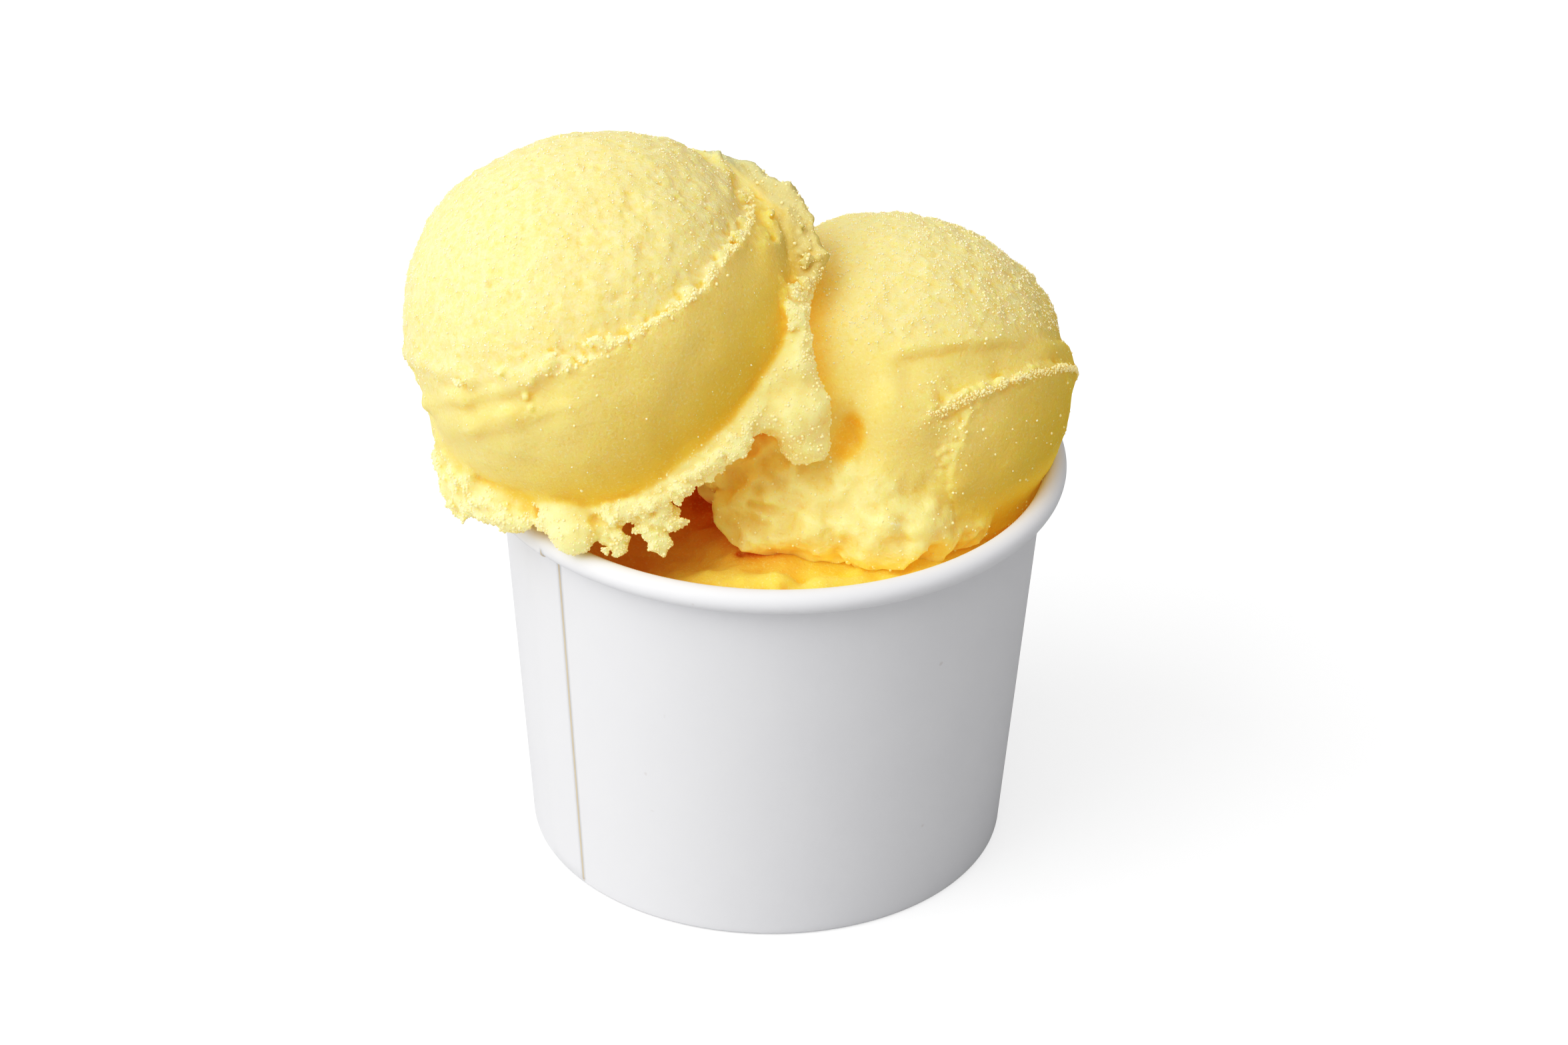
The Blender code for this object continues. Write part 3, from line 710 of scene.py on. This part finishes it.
APRON = (
    ((4, -15, 75), (-7, -17.5, 71), 6.5, 4.2),
    ((6, -16, 71.5), (-1.5, -22, 68.6), 8, 3.6),
    ((-1.5, -22, 68.6), (-5.5, -23.5, 66.8), 3.6, 2.5),
    ((-1, -22.5, 67.5), (-3.4, -25, 64.8), 3.4, 2.8),
    ((6, -17, 69.5), (2.2, -24, 65.9), 9.5, 5),
    ((9.5, -17, 69.5), (7.8, -25.4, 65.6), 10, 5.3),
    ((14, -17.5, 70.5), (14.4, -26.8, 66.6), 10, 5.4),
    ((17.5, -17, 70.5), (18.6, -25.4, 67), 9.5, 5.6),
    ((22, -15.5, 70.5), (22.4, -23.2, 66.8), 9.5, 5.8),
    ((26, -12, 69), (26.4, -18.4, 65.6), 9, 6),
)
SKIRT_LEVEL = 63.5
SKIRT_REACH = 37.0


def skirt_lobes():
    """Uneven lobes squeezed out round the back of the right scoop."""
    rng = np.random.default_rng(31)
    for azimuth in np.radians(np.linspace(35, 205, 9)):
        out = np.array((math.cos(azimuth), math.sin(azimuth), 0))
        uneven = rng.uniform(-0.4, 0.4)
        start, end = RIGHT_CENTRE + out * 21, RIGHT_CENTRE + out * (25.3 + 2 * uneven)
        start[2], end[2] = SKIRT_LEVEL + 3, SKIRT_LEVEL - 1.5 + 2 * uneven
        end[:2] *= min(1, SKIRT_REACH / math.hypot(end[0], end[1]))
        yield start, end, 5.5, 3.4 + uneven


SLITS = (
    ((28.9, -22.3, 79.6), (29.3, -22.2, 77.6), 0.35, 0.3),
    ((27.2, -23.9, 76.4), (27.6, -23.7, 74.8), 0.3, 0.3),
)
CLEFTS = (
    ((11.4, -33.5, 66.4), (11.6, -31, 61), 0.5, 1.3),
    ((2.6, -31.4, 66.6), (2.9, -29.6, 63.4), 0.3, 0.7),
    ((3, -28.6, 69.5), (-3, -25.4, 69.4), 0.5, 0.4),
)


def make_right(field, left):
    """Fills the right scoop's field, and gives the distance to its bare ball."""
    x, y, z = field.axes(centre=RIGHT_CENTRE)
    wide = field.noise(9, 21)
    middle = field.noise(2.8, 22)
    lumps = field.noise(1.4, 23)
    grain = field.noise(0.7, 24)
    length = np.sqrt(x * x + y * y + z * z)
    value = length - RIGHT_RADIUS
    near = np.nonzero(np.abs(value) < 5)
    direction = [axis / length[near] for axis in field.picked((x, y, z), near)]
    frost, torn = right_frost(direction), right_torn(direction)
    relief = right_relief(direction, 0.3 * lumps[near] + 0.2 * grain[near])
    relief += 0.2 * wide[near] + 0.1 * middle[near]
    relief += (0.025 + 0.055 * frost + 0.12 * torn) * grain[near]
    relief += (0.02 + 0.03 * frost + 0.16 * torn) * lumps[near]
    relief += 0.03 * frost * field.noise(0.5, 26)[near]
    relief -= (0.18 * frost + 0.4 * torn) * smoothstep(1, 2.2, field.noise(0.85, 25)[near])
    value[near] -= relief
    field.value = value.astype(np.float32)
    bare = field.value.copy()
    add_lobes(field, (*APRON, *skirt_lobes()), 2.4, 0.47 * middle + 0.2 * lumps + 0.08 * grain)
    add_lobes(field, CLEFTS, 1.2, 0.2 * lumps, cut=True)
    add_lobes(field, SLITS, 0.7, 0.2 * lumps, cut=True)
    add_right_crumbs(field)
    field.value = smooth_max(field.value, out_of_room(field, 0.05), 0.4)
    field.value = np.maximum(field.value, 0.05 - left.on_lines(field))
    return bare


def add_right_crumbs(field):
    rng = np.random.default_rng(41)
    add_crest_crumbs(field, rng, RIGHT_CENTRE, RIGHT_RADIUS, RIGHT_CREST, (-130, -74), 26, 0.55)
    for _ in range(90):
        angle = rng.uniform(-54, 30)
        across = rng.normal(-0.4, 1.2)
        place = on_circle(RIGHT_CENTRE, RIGHT_RADIUS, RIGHT_TEAR, angle, across, rng.uniform(-0.9, -0.5))
        add_grain(field, place, rng.uniform(0.25, 0.6))
    for lobe in APRON:
        add_trail(field, rng, (lobe[1], lobe[1] + np.array((2, -0.5, -3.5))), 8, (0.3, 0.6), 2, (0, -1, -0.3), 2)


# Packed sorbet below

FILL_LEVEL = 62.0
FILL_FLOOR = 7.3
FILL_DIPS = (((-22, -20), (13, 15), 6), ((35, -14), (9, 12), 4), ((4.4, -38), (1.5, 6), 4))
MOUND_RADIUS = 21
MOUND_TOP = 73
FILL_LUMPS = (
    ((-4.5, -34.5, 59.5), (1.6, -36, 61.2), 3, 3),
    ((7.4, -36.4, 60.6), (12.8, -35, 60.4), 3.1, 3),
)
FILL_CRACK = (((4.3, -39.5, 64.6), (4.5, -35.5, 63.2), 0.5, 0.4),)


def make_fill(field, left, right):
    """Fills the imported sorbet's field: dips, a mound under the left scoop, two lumps and the crack between."""
    x, y, z = field.axes()
    middle = field.noise(4.5, 51)
    lumps = field.noise(1.7, 52)
    grain = field.noise(0.8, 53)
    height = FILL_LEVEL
    for (at_x, at_y), (wide_x, wide_y), depth in FILL_DIPS:
        height = height - depth * bell(x - at_x, wide_x) * bell(y - at_y, wide_y)
    away = np.hypot(x + 18, y - 9)
    mound = MOUND_TOP - MOUND_RADIUS + np.sqrt(np.maximum(MOUND_RADIUS**2 - away**2, 0))
    height = np.maximum(height, mound)
    field.value = (z - height - 0.5 * middle - 0.16 * lumps - 0.06 * grain).astype(np.float32)
    add_lobes(field, FILL_LUMPS, 2, 0.2 * middle + 0.12 * lumps + 0.05 * grain)
    add_lobes(field, FILL_CRACK, 0.8, 0.4 * lumps, cut=True)
    value = np.maximum(field.value, out_of_room(field, 0.03))
    value = np.maximum(value, FILL_FLOOR - z)
    value = np.maximum(value, 0.05 - left.on_lines(field))
    field.value = np.maximum(value, 0.05 - right.on_lines(field)).astype(np.float32)


# How crowded a place is

def crowding(*fields):
    """How full of sorbet or cup the space round each place is, 0 to 1, over some 6 mm."""
    ranges = ((-62, 50), (-46, 46), (20, 124))
    room = Field(*(np.arange(low, high, 1.5, dtype=np.float32) for low, high in ranges))
    x, y, z = room.axes()
    full = (np.hypot(x, y) > wall_radius(z)) & (z < CUP_HEIGHT)
    for field in fields:
        full = full | (field.on_lines(room) < 0)
    room.value = blurred(full.astype(np.float32), 26)
    return room


# Paper cup

def wall_radius(height):
    """Radius to the middle of the paper of the cup's wall."""
    top = CURL[0] - CURL_RADIUS
    foot = FOOT_RADIUS - PAPER / 2
    return foot + (top - foot) * height / CURL[1]


def arc(centre, radius, start, end, count):
    angles = np.radians(np.linspace(start, end, count + 1))
    return [(centre[0] + radius * math.cos(a), centre[1] + radius * math.sin(a)) for a in angles]


def wall_path():
    """Middle of the paper, from the hem inside the foot, up the wall and round the rolled rim."""
    low = PAPER / 2 + FOOT_CORNER
    outer = wall_radius(low) - FOOT_CORNER
    inner = outer - FOOT_FLAT
    hem_shift = wall_radius(low) - (inner - FOOT_CORNER)
    path = [(wall_radius(HEM_HEIGHT) - hem_shift, HEM_HEIGHT)]
    path += arc((inner, low), FOOT_CORNER, 180, 270, 4)
    path += arc((outer, low), FOOT_CORNER, 270, 360, 4)
    path += [(wall_radius(level), level) for level in np.linspace(1.2, CURL[1] - 0.6, 40)]
    path += arc(CURL, CURL_RADIUS, 180, CURL_END, 30)
    return np.array(path)


def make_cup():
    """The cup's wall, its outside raised where the paper laps, and the first face of the lap's raw edge."""
    path = wall_path()
    along = np.gradient(path, axis=0)
    along /= np.linalg.norm(along, axis=1)[:, None]
    across = np.stack([-along[:, 1], along[:, 0]], 1) * PAPER / 2
    outline = np.concatenate([path + across, (path - across)[::-1]])
    count = len(outline)
    radius, height = outline.T
    outside = smoothstep(-0.1, 0.1, radius - wall_radius(height))
    outside = outside * smoothstep(0.9, 1.1, height) * smoothstep(CURL[1] + 0.2, CURL[1] - 1.2, height)
    outside[height > CURL[1]] = 0
    turns = np.append(np.arange(360), 359.999)[:, None]
    out = radius + SEAM_LAP * smoothstep(344, 350, turns) * outside
    angle = np.radians(SEAM_AZIMUTH + turns)
    points = np.stack([out * np.cos(angle), out * np.sin(angle), height + 0 * out], 2).reshape(-1, 3)
    total = len(turns)
    index = np.arange(count)
    onward = (index + 1) % count
    here = np.arange(total)[:, None] * count
    after = np.roll(here, -1, 0)
    faces = np.stack([here + index, here + onward, after + onward, after + index], 2).reshape(-1, 4)
    return mesh_from("cup_paper", points, faces), (total - 1) * count


# Loose grains

def scatter(name, obj, weight, count, sizes, crystal, sunk, seed):
    """Small grains half sunk in the surface, more where the weight is high, as one piece."""
    rng = np.random.default_rng(seed)
    points, normals = places_of(obj), normals_of(obj)
    share = np.clip(weight, 0, None) + 1e-6
    picks = rng.choice(len(points), count, replace=False, p=share / share.sum())
    shape = bmesh.new()
    if crystal:
        bmesh.ops.create_uvsphere(shape, u_segments=4, v_segments=2, radius=1)
    else:
        bmesh.ops.create_icosphere(shape, subdivisions=1, radius=1)
    corners = np.array([vert.co for vert in shape.verts])
    sides = np.array([[vert.index for vert in face.verts] for face in shape.faces])
    shape.free()
    turned = np.linalg.qr(rng.standard_normal((count, 3, 3)))[0]
    turned *= np.sign(np.linalg.det(turned))[:, None, None]
    low, high = sizes
    size = (low + (high - low) * rng.random((count, 1)) ** 2) * rng.uniform(0.75, 1.25, (count, 3))
    places = np.einsum("cij,ckj->cki", turned, corners[None] * size[:, None, :])
    centre = points[picks] + normals[picks] * size.mean(1)[:, None] * (1 - 2 * sunk)
    places = (places + centre[:, None]).reshape(-1, 3)
    faces = (sides[None] + np.arange(count)[:, None, None] * len(corners)).reshape(-1, 3)
    return mesh_from(name, places, faces)


# Materials

ICE_IOR = 1.34


class Look:
    """A material whose nodes are put together by name."""

    def __init__(self, name):
        self.material = bpy.data.materials.new(name)
        self.material.use_nodes = True
        self.tree = self.material.node_tree
        self.place = None

    def set(self, node, inputs):
        """Each input gets a number, a colour or another node's output."""
        for key, value in inputs.items():
            if isinstance(value, tuple):
                node.inputs[key].default_value = (*value, 1)
            elif isinstance(value, (int, float)):
                node.inputs[key].default_value = value
            else:
                self.tree.links.new(value, node.inputs[key])

    def add(self, kind, inputs=(), **settings):
        node = self.tree.nodes.new("ShaderNode" + kind)
        for key, value in settings.items():
            setattr(node, key, value)
        self.set(node, dict(inputs))
        return node

    def attribute(self, name):
        return self.add("Attribute", attribute_name=name).outputs["Fac"]

    def mix(self, share, first, second):
        return self.add("Mix", {0: share, 6: first, 7: second}, data_type="RGBA").outputs[2]

    def maths(self, operation, *values, clamp=False):
        return self.add("Math", enumerate(values), operation=operation, use_clamp=clamp).outputs[0]

    def times(self, first, second):
        return self.maths("MULTIPLY", first, second)

    def line(self, value, slope, start, clamp=False):
        return self.maths("MULTIPLY_ADD", value, slope, start, clamp=clamp)

    def noise(self, scale, detail=2, roughness=0.5):
        if self.place is None:
            self.place = self.add("TexCoord").outputs["Object"]
        inputs = {"Vector": self.place, "Scale": scale, "Detail": detail, "Roughness": roughness}
        return self.add("TexNoise", inputs).outputs[0]

    def bump(self, height, strength, distance, **more):
        inputs = {"Height": height, "Strength": strength, "Distance": distance}
        return self.add("Bump", {**inputs, **more}).outputs[0]

    def shade(self, **inputs):
        """Sets the shader's inputs, named with _ for a space."""
        shader = self.tree.nodes["Principled BSDF"]
        self.set(shader, {key.replace("_", " "): value for key, value in inputs.items()})
        return self.material


def sorbet_material():
    look = Look("mango_sorbet")
    names = ("frost", "crumb", "wet", "hollow", "dull", "glow", "under", "deep")
    frost, crumb, wet, hollow, dull, glow, under, deep = map(look.attribute, names)
    fine = look.noise(1500, 3, 0.6)
    speck = look.noise(2600, 1)
    worm = look.maths("ABSOLUTE", look.line(look.noise(620), 2, -1))
    pale = look.times(look.line(look.noise(950, 2, 0.6), 3, -1, clamp=True), look.times(frost, 0.6))
    light_speck = look.times(look.line(speck, 7, -4, clamp=True), 0.3)
    dark_speck = look.times(look.line(fine, -7, 3, clamp=True), 0.3)
    # Painted highlight: pale glints along thin lines where the sorbet is wettest
    glint = look.times(look.line(worm, -9, 1, clamp=True), look.line(wet, 2.4, -1.6, clamp=True))
    colour = look.mix(look.noise(160, 3, 0.55), (0.97, 0.72, 0.235), (0.975, 0.75, 0.31))
    for share, tint in (
        (look.times(frost, 0.8), (0.98, 0.755, 0.28)),
        (pale, (0.985, 0.83, 0.48)),
        # pale crumbs; along the left crest partly a painted highlight
        (crumb, (0.99, 0.87, 0.43)),
        # painted shade on the flange
        (dull, (0.6, 0.59, 0.34)),
        # painted shade on sides turned away from the key light
        (under, (0.95, 0.6, 0.07)),
        # painted shade in hollows, the crevice and the dimple
        (hollow, (0.95, 0.62, 0.08)),
        # painted shade in crowded pockets
        (deep, (0.74, 0.22, 0.003)),
        (light_speck, (0.99, 0.88, 0.5)),
        (dark_speck, (0.9, 0.56, 0.09)),
        # painted highlight
        (glint, (1, 0.95, 0.74)),
    ):
        colour = look.mix(share, colour, tint)
    # Painted glow: an emission standing in for light through the sorbet, on crumbs and where the glow mask is high,
    # orange, paler on crumbs, redder in pockets, and taken off the flange
    light = look.mix(deep, look.mix(crumb, (1, 0.62, 0.1), (1, 0.92, 0.42)), (1, 0.35, 0.003))
    shine = look.line(crumb, 0.12, look.times(glow, look.line(deep, -0.08, 0.12)))
    film = look.bump(look.times(worm, -3), look.times(wet, 0.3), 0.0004)
    strength = look.line(look.maths("SUBTRACT", 1, wet), 0.55, 0.45)
    shader = look.tree.nodes["Principled BSDF"]
    shader.inputs["Subsurface Radius"].default_value = (1, 0.5, 0.12)
    return look.shade(
        Base_Color=colour,
        Roughness=look.line(speck, -0.12, look.line(wet, -0.46, 0.72)),
        IOR=ICE_IOR,
        Subsurface_Weight=look.line(dull, -0.5, 0.75),
        Subsurface_Scale=0.005,
        Emission_Color=light,
        Emission_Strength=look.line(dull, -0.12, shine, clamp=True),
        Normal=look.bump(fine, strength, 0.00022, Normal=film),
    )


def grain_material(name, noise, tints, glow, roughness):
    look = Look(name)
    return look.shade(
        Base_Color=look.mix(look.noise(*noise), *tints),
        Roughness=roughness,
        IOR=ICE_IOR,
        # Painted glow: the grains give a faint light of their own
        Emission_Color=glow,
        Emission_Strength=0.08,
    )


def paper_material(name, colour, shade, bumpiness):
    look = Look(name)
    fibre = look.noise(900, 3, 0.6)
    spot = look.times(look.line(look.noise(420, 1, 0.4), 30, -24.6, clamp=True), 0.3)
    colour = look.mix(look.noise(90, 4, 0.6), colour, shade)
    return look.shade(
        Base_Color=look.mix(spot, colour, (0.55, 0.5, 0.46)),
        Roughness=look.line(fibre, 0.16, 0.46),
        IOR=1.45,
        Normal=look.bump(fibre, bumpiness, 0.00006),
    )


# Scene

# Levels of light, and what each becomes
TONE = ((0.05, 0.02), (0.12, 0.07), (0.24, 0.215), (0.45, 0.465), (0.7, 0.76))


def make_camera():
    data = bpy.data.cameras.new("camera")
    data.lens = 103.23
    data.sensor_width = 36
    camera = linked("camera", data)
    right = Vector((0.99982053, 0.00712371, 0.01755467))
    up = Vector((-0.01873818, 0.50839608, 0.86091945))
    forward = Vector((0.00279178, 0.86109389, -0.50843832))
    turn = Matrix((right, up, -forward)).transposed().to_4x4()
    camera.matrix_world = Matrix.Translation((0.0042, -0.59821, 0.40481)) @ turn
    bpy.context.scene.camera = camera


def add_light(name, direction, distance, size, watts):
    """A round soft light that faces the middle of the scoops."""
    data = bpy.data.lights.new(name, "AREA")
    data.shape = "DISK"
    data.size = size
    data.energy = watts
    light = linked(name, data)
    target = Vector((0, 0, 0.07))
    direction = Vector(direction).normalized()
    light.location = target + direction * distance
    light.rotation_euler = direction.to_track_quat("Z", "Y").to_euler()


def make_stage():
    """The pale floor, which shows bright to the camera, and the studio's light."""
    shape = bmesh.new()
    bmesh.ops.create_grid(shape, x_segments=40, y_segments=40, size=2.2)
    mesh = bpy.data.meshes.new("floor")
    shape.to_mesh(mesh)
    shape.free()
    floor = linked("floor", mesh)
    floor.location.z = -0.0001
    look = Look("pale_floor")
    seen = look.times(look.add("LightPath").outputs["Is Camera Ray"], 0.55)
    look.shade(Base_Color=(0.55, 0.55, 0.55), Roughness=0.8, Emission_Color=(1, 1, 1), Emission_Strength=seen)
    mesh.materials.append(look.material)
    world = bpy.data.worlds.new("studio")
    bpy.context.scene.world = world
    world.use_nodes = True
    background = world.node_tree.nodes["Background"]
    background.inputs["Color"].default_value = (1, 1, 1, 1)
    background.inputs["Strength"].default_value = 0.41
    add_light("key", (-0.74, -0.33, 0.6), 1.5, 1.8, 18.8)
    add_light("top", (-0.1, -0.35, 0.93), 1.5, 1.6, 8.5)
    make_tone()


def make_tone():
    """The contrast of a studio photograph: deeper shades, and lights that stay clear."""
    view = bpy.context.scene.view_settings
    view.view_transform = "Standard"
    view.use_curve_mapping = True
    for level, shown in TONE:
        view.curve_mapping.curves[3].points.new(level, shown)
    view.curve_mapping.update()


def finish_sorbet(obj, field, room, centre, frost=0, crumb=0, wet=0, dull=0, dents=(), least_under=0):
    """Writes the numbers that the sorbet's material reads, painted shade and painted glow among them, and gives how
    far each point stands out.
    """
    points = places_of(obj)
    soft = blurred(np.clip(field.value, -FAR, FAR), 12)
    raised = field.sample(soft - np.clip(field.value, -FAR, FAR), points)
    # Painted shade: hollows in the surface, and the crevice and dimple spots, get a deeper orange
    hollow = 0.7 * smoothstep(-0.05, -0.4, raised) * (1 - 0.8 * crumb) * (1 - smoothstep(0, 0.05, dull))
    dent = near_any(points, dents)
    hollow = np.maximum(hollow, 0.9 * dent)
    normals = normals_of(obj)
    crowd = room.sample(room.value, points + normals * 3.5)
    # Painted glow in crowded places and on faces turned down, weaker on crumbs
    glow = np.maximum(smoothstep(0.3, 0.62, crowd), 0.4 * smoothstep(0, -0.7, normals[:, 2])) * (1 - 0.5 * crumb)
    glow *= 1 - 0.9 * least_under
    # Painted shade in crowded pockets between scoops, fill and cup: a deep orange-red, which also reddens the
    # painted glow there
    deep = smoothstep(0.5 - 0.35 * least_under, 0.86 - 0.42 * least_under, crowd) * smoothstep(6, -4, points[:, 0])
    deep = np.maximum(deep * (1 - crumb), 0.2 * dent)
    # Painted shade: sides turned away from the key light get a deeper orange, and a piece may be given this painted
    # shade all over at a set least amount
    facing = unit((-0.6, -0.15, 0.75)) @ directions(points, centre)
    under = np.maximum(smoothstep(0.25, -0.65, facing) * (1 - 0.9 * crumb), least_under)
    pale = crumb * (0.35 + 0.65 * smoothstep(-0.15, 0.25, raised))
    paint(obj, frost=frost, crumb=pale, wet=wet, hollow=hollow, deep=deep, under=under, dull=dull, glow=glow)
    return smoothstep(-0.1, 0.1, raised)


# Spots on the sorbet: place and radius. The damp and glossy spots are wet, the glossy ones with painted glints; the
# crevice and dimple spots are painted in shade; the flange end turns off the hollows' painted shade there and adds
# a trace of the flange's painted shade.
LEFT_DAMP = (((3.4, -25, 84.5), 6.5), ((2, -23.5, 90), 4), ((-30, -33, 71), 5))
LEFT_SHINY = (((0.6, -25, 88.4), 3), ((-2.2, -26.5, 86.2), 2.6), ((1.6, -27, 84.6), 2))
CREVICE = (
    ((-40, -30, 73.6), 1.4), ((-38.4, -30.6, 72.6), 1.8), ((-36, -31, 71.8), 1.7), ((-33.4, -31.2, 70.8), 1.4),
)
FLANGE_END = (((-9, -8, 110), 9),)
RIGHT_SHINY = (
    ((14.5, -33, 69.5), 2.6), ((18.5, -31.5, 70.5), 2.4), ((9.5, -33, 67), 1.8), ((3.8, -30.5, 69), 1.6),
)
DIMPLE = (((11.7, -22.2, 81.4), 2), ((11.2, -22.6, 79.7), 2.4), ((10.5, -23.6, 78.2), 2.3))


def dress_left(obj, field, bare, room):
    """Paints the left scoop, and gives its frost and its loose crumbs."""
    points = places_of(obj)
    direction = directions(points, LEFT_CENTRE)
    crumb = smoothstep(0.4, 1.4, field.sample(bare, points))
    frost = left_frost(direction) * (1 - crumb)
    # Wet places are glossy; the glossiest spots also carry painted glints
    wet = np.maximum(0.6 * near_any(points, LEFT_DAMP), near_any(points, LEFT_SHINY))
    turn = ring_angle(*(points - LEFT_CENTRE).T)
    # Painted shade: the flange beside the ball is coloured a dull olive as it lies in shade, and is given less
    # translucency and no painted glow
    flange = smoothstep(108, 116, turn) * smoothstep(180, 166, turn)
    shoulder = LEFT_RADIUS + 0.6 * table_at(SHOULDER, turn)
    flange *= smoothstep(0.4, 1.4, np.linalg.norm(points - LEFT_CENTRE, axis=1) - shoulder)
    flange = np.maximum(flange, 0.05 * near_any(points, FLANGE_END))
    # The crest's line is painted pale: partly its own pale crumbs, partly a painted highlight on its lit edge
    line = bell(left_crest(direction) + 0.1, 0.5) * left_crest_strength(direction)
    pale = np.maximum(crumb * (1 - 0.6 * flange), 0.6 * line)
    out = finish_sorbet(obj, field, room, LEFT_CENTRE, frost, pale, wet, flange, CREVICE)
    sparkle = (0.12 + frost + 0.25 * crumb * (1 - wet)) * out
    rough = (0.5 * crumb * (1 - wet) * (1 - 0.92 * flange) + 1.1 * line + 0.006) * out
    ice = scatter("left_frost", obj, sparkle, 6500, (0.05, 0.2), True, 0.35, 61)
    return ice, scatter("left_crumbs", obj, rough, 4200, (0.1, 0.3), False, 0.45, 63)


def dress_right(obj, field, bare, room):
    """Paints the right scoop, and gives its frost and its loose crumbs."""
    points = places_of(obj)
    direction = directions(points, RIGHT_CENTRE)
    crumb = smoothstep(0.4, 1.6, field.sample(bare, points))
    frost = right_frost(direction) * (1 - crumb)
    wet = smoothstep(79, 75, points[:, 2]) * smoothstep(-14, -20, points[:, 1]) * smoothstep(0.1, 0.6, crumb)
    # The glossiest spots also carry painted glints
    wet = np.maximum(0.6 * wet, near_any(points, RIGHT_SHINY))
    out = finish_sorbet(obj, field, room, RIGHT_CENTRE, frost, 0.55 * crumb, wet, dents=DIMPLE)
    line = bell(right_crest(direction), 0.4) * smoothstep(0.1, 0.35, direction[0]) * (direction[1] < 0.1)
    rough = (0.7 * line + 0.12 * right_torn(direction) + 0.006) * out
    ice = scatter("right_frost", obj, (0.04 + 1.4 * frost) * out, 6500, (0.05, 0.22), True, 0.35, 62)
    return ice, scatter("right_crumbs", obj, rough, 1500, (0.1, 0.26), False, 0.45, 64)


def main():
    make_camera()
    make_stage()
    sorbet = sorbet_material()
    ice = grain_material("ice_crystal", (700, 1), ((0.99, 0.88, 0.5), (0.99, 0.93, 0.7)), (1, 0.86, 0.5), 0.25)
    loose = grain_material("sorbet_crumb", (500, 2), ((0.98, 0.82, 0.37), (0.99, 0.88, 0.52)), (1, 0.84, 0.4), 0.5)
    paper = paper_material("white_paper", (0.835, 0.835, 0.85), (0.805, 0.805, 0.825), 0.35)
    raw_edge = paper_material("raw_paper_edge", (0.9, 0.8, 0.63), (0.84, 0.74, 0.57), 0.5)

    left = Field(
        graded((-60, 0.3), (11, 0)),
        graded((-42, 0.29), (0, 0.55), (20, 0)),
        graded((60, 0.29), (122, 0)),
    )
    left_bare = make_left(left)
    left_obj = sorbet_piece("left_scoop", left, 195000)
    right = Field(
        graded((-14, 0.31), (49, 0)),
        graded((-34, 0.3), (4, 0.6), (33, 0)),
        graded((42, 1.2), (54, 0.3), (102.5, 0)),
    )
    right_bare = make_right(right, left)
    right_obj = sorbet_piece("right_scoop", right, 175000)
    fill = Field(
        graded((-45, 0.45), (45, 0)),
        graded((-45, 0.38), (-12, 0.7), (45, 0)),
        graded((4, 4), (44, 0.42), (77, 0)),
    )
    make_fill(fill, left, right)
    fill_obj = sorbet_piece("packed_sorbet", fill, 80000)

    room = crowding(left, right, fill)
    left_ice, left_grains = dress_left(left_obj, left, left_bare, room)
    right_ice, right_grains = dress_right(right_obj, right, right_bare, room)
    # The packed sorbet is painted in shade all over, with less painted glow
    finish_sorbet(fill_obj, fill, room, (0, 0, -400), least_under=0.55)

    cup, last_row = make_cup()
    pieces = (
        (left_obj, "sorbet", sorbet, "scoop_left"),
        (left_ice, "sorbet", ice, None),
        (left_grains, "sorbet", loose, None),
        (right_obj, "sorbet", sorbet, "scoop_right"),
        (right_ice, "sorbet", ice, None),
        (right_grains, "sorbet", loose, None),
        (fill_obj, "sorbet", sorbet, "ice_cream_base"),
        (cup, "paper", paper, "cup_wall"),
    )
    for obj, slot, material, replaced in pieces:
        obj.data.materials.append(material)
        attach(obj, "root")
        if replaced:
            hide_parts(replaced)
    cup.data.materials.append(raw_edge)
    step = np.zeros(len(cup.data.polygons), np.int32)
    step[last_row:] = 1
    cup.data.polygons.foreach_set("material_index", step)
    for material_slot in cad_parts["cup_base"].material_slots:
        material_slot.material = paper


main()
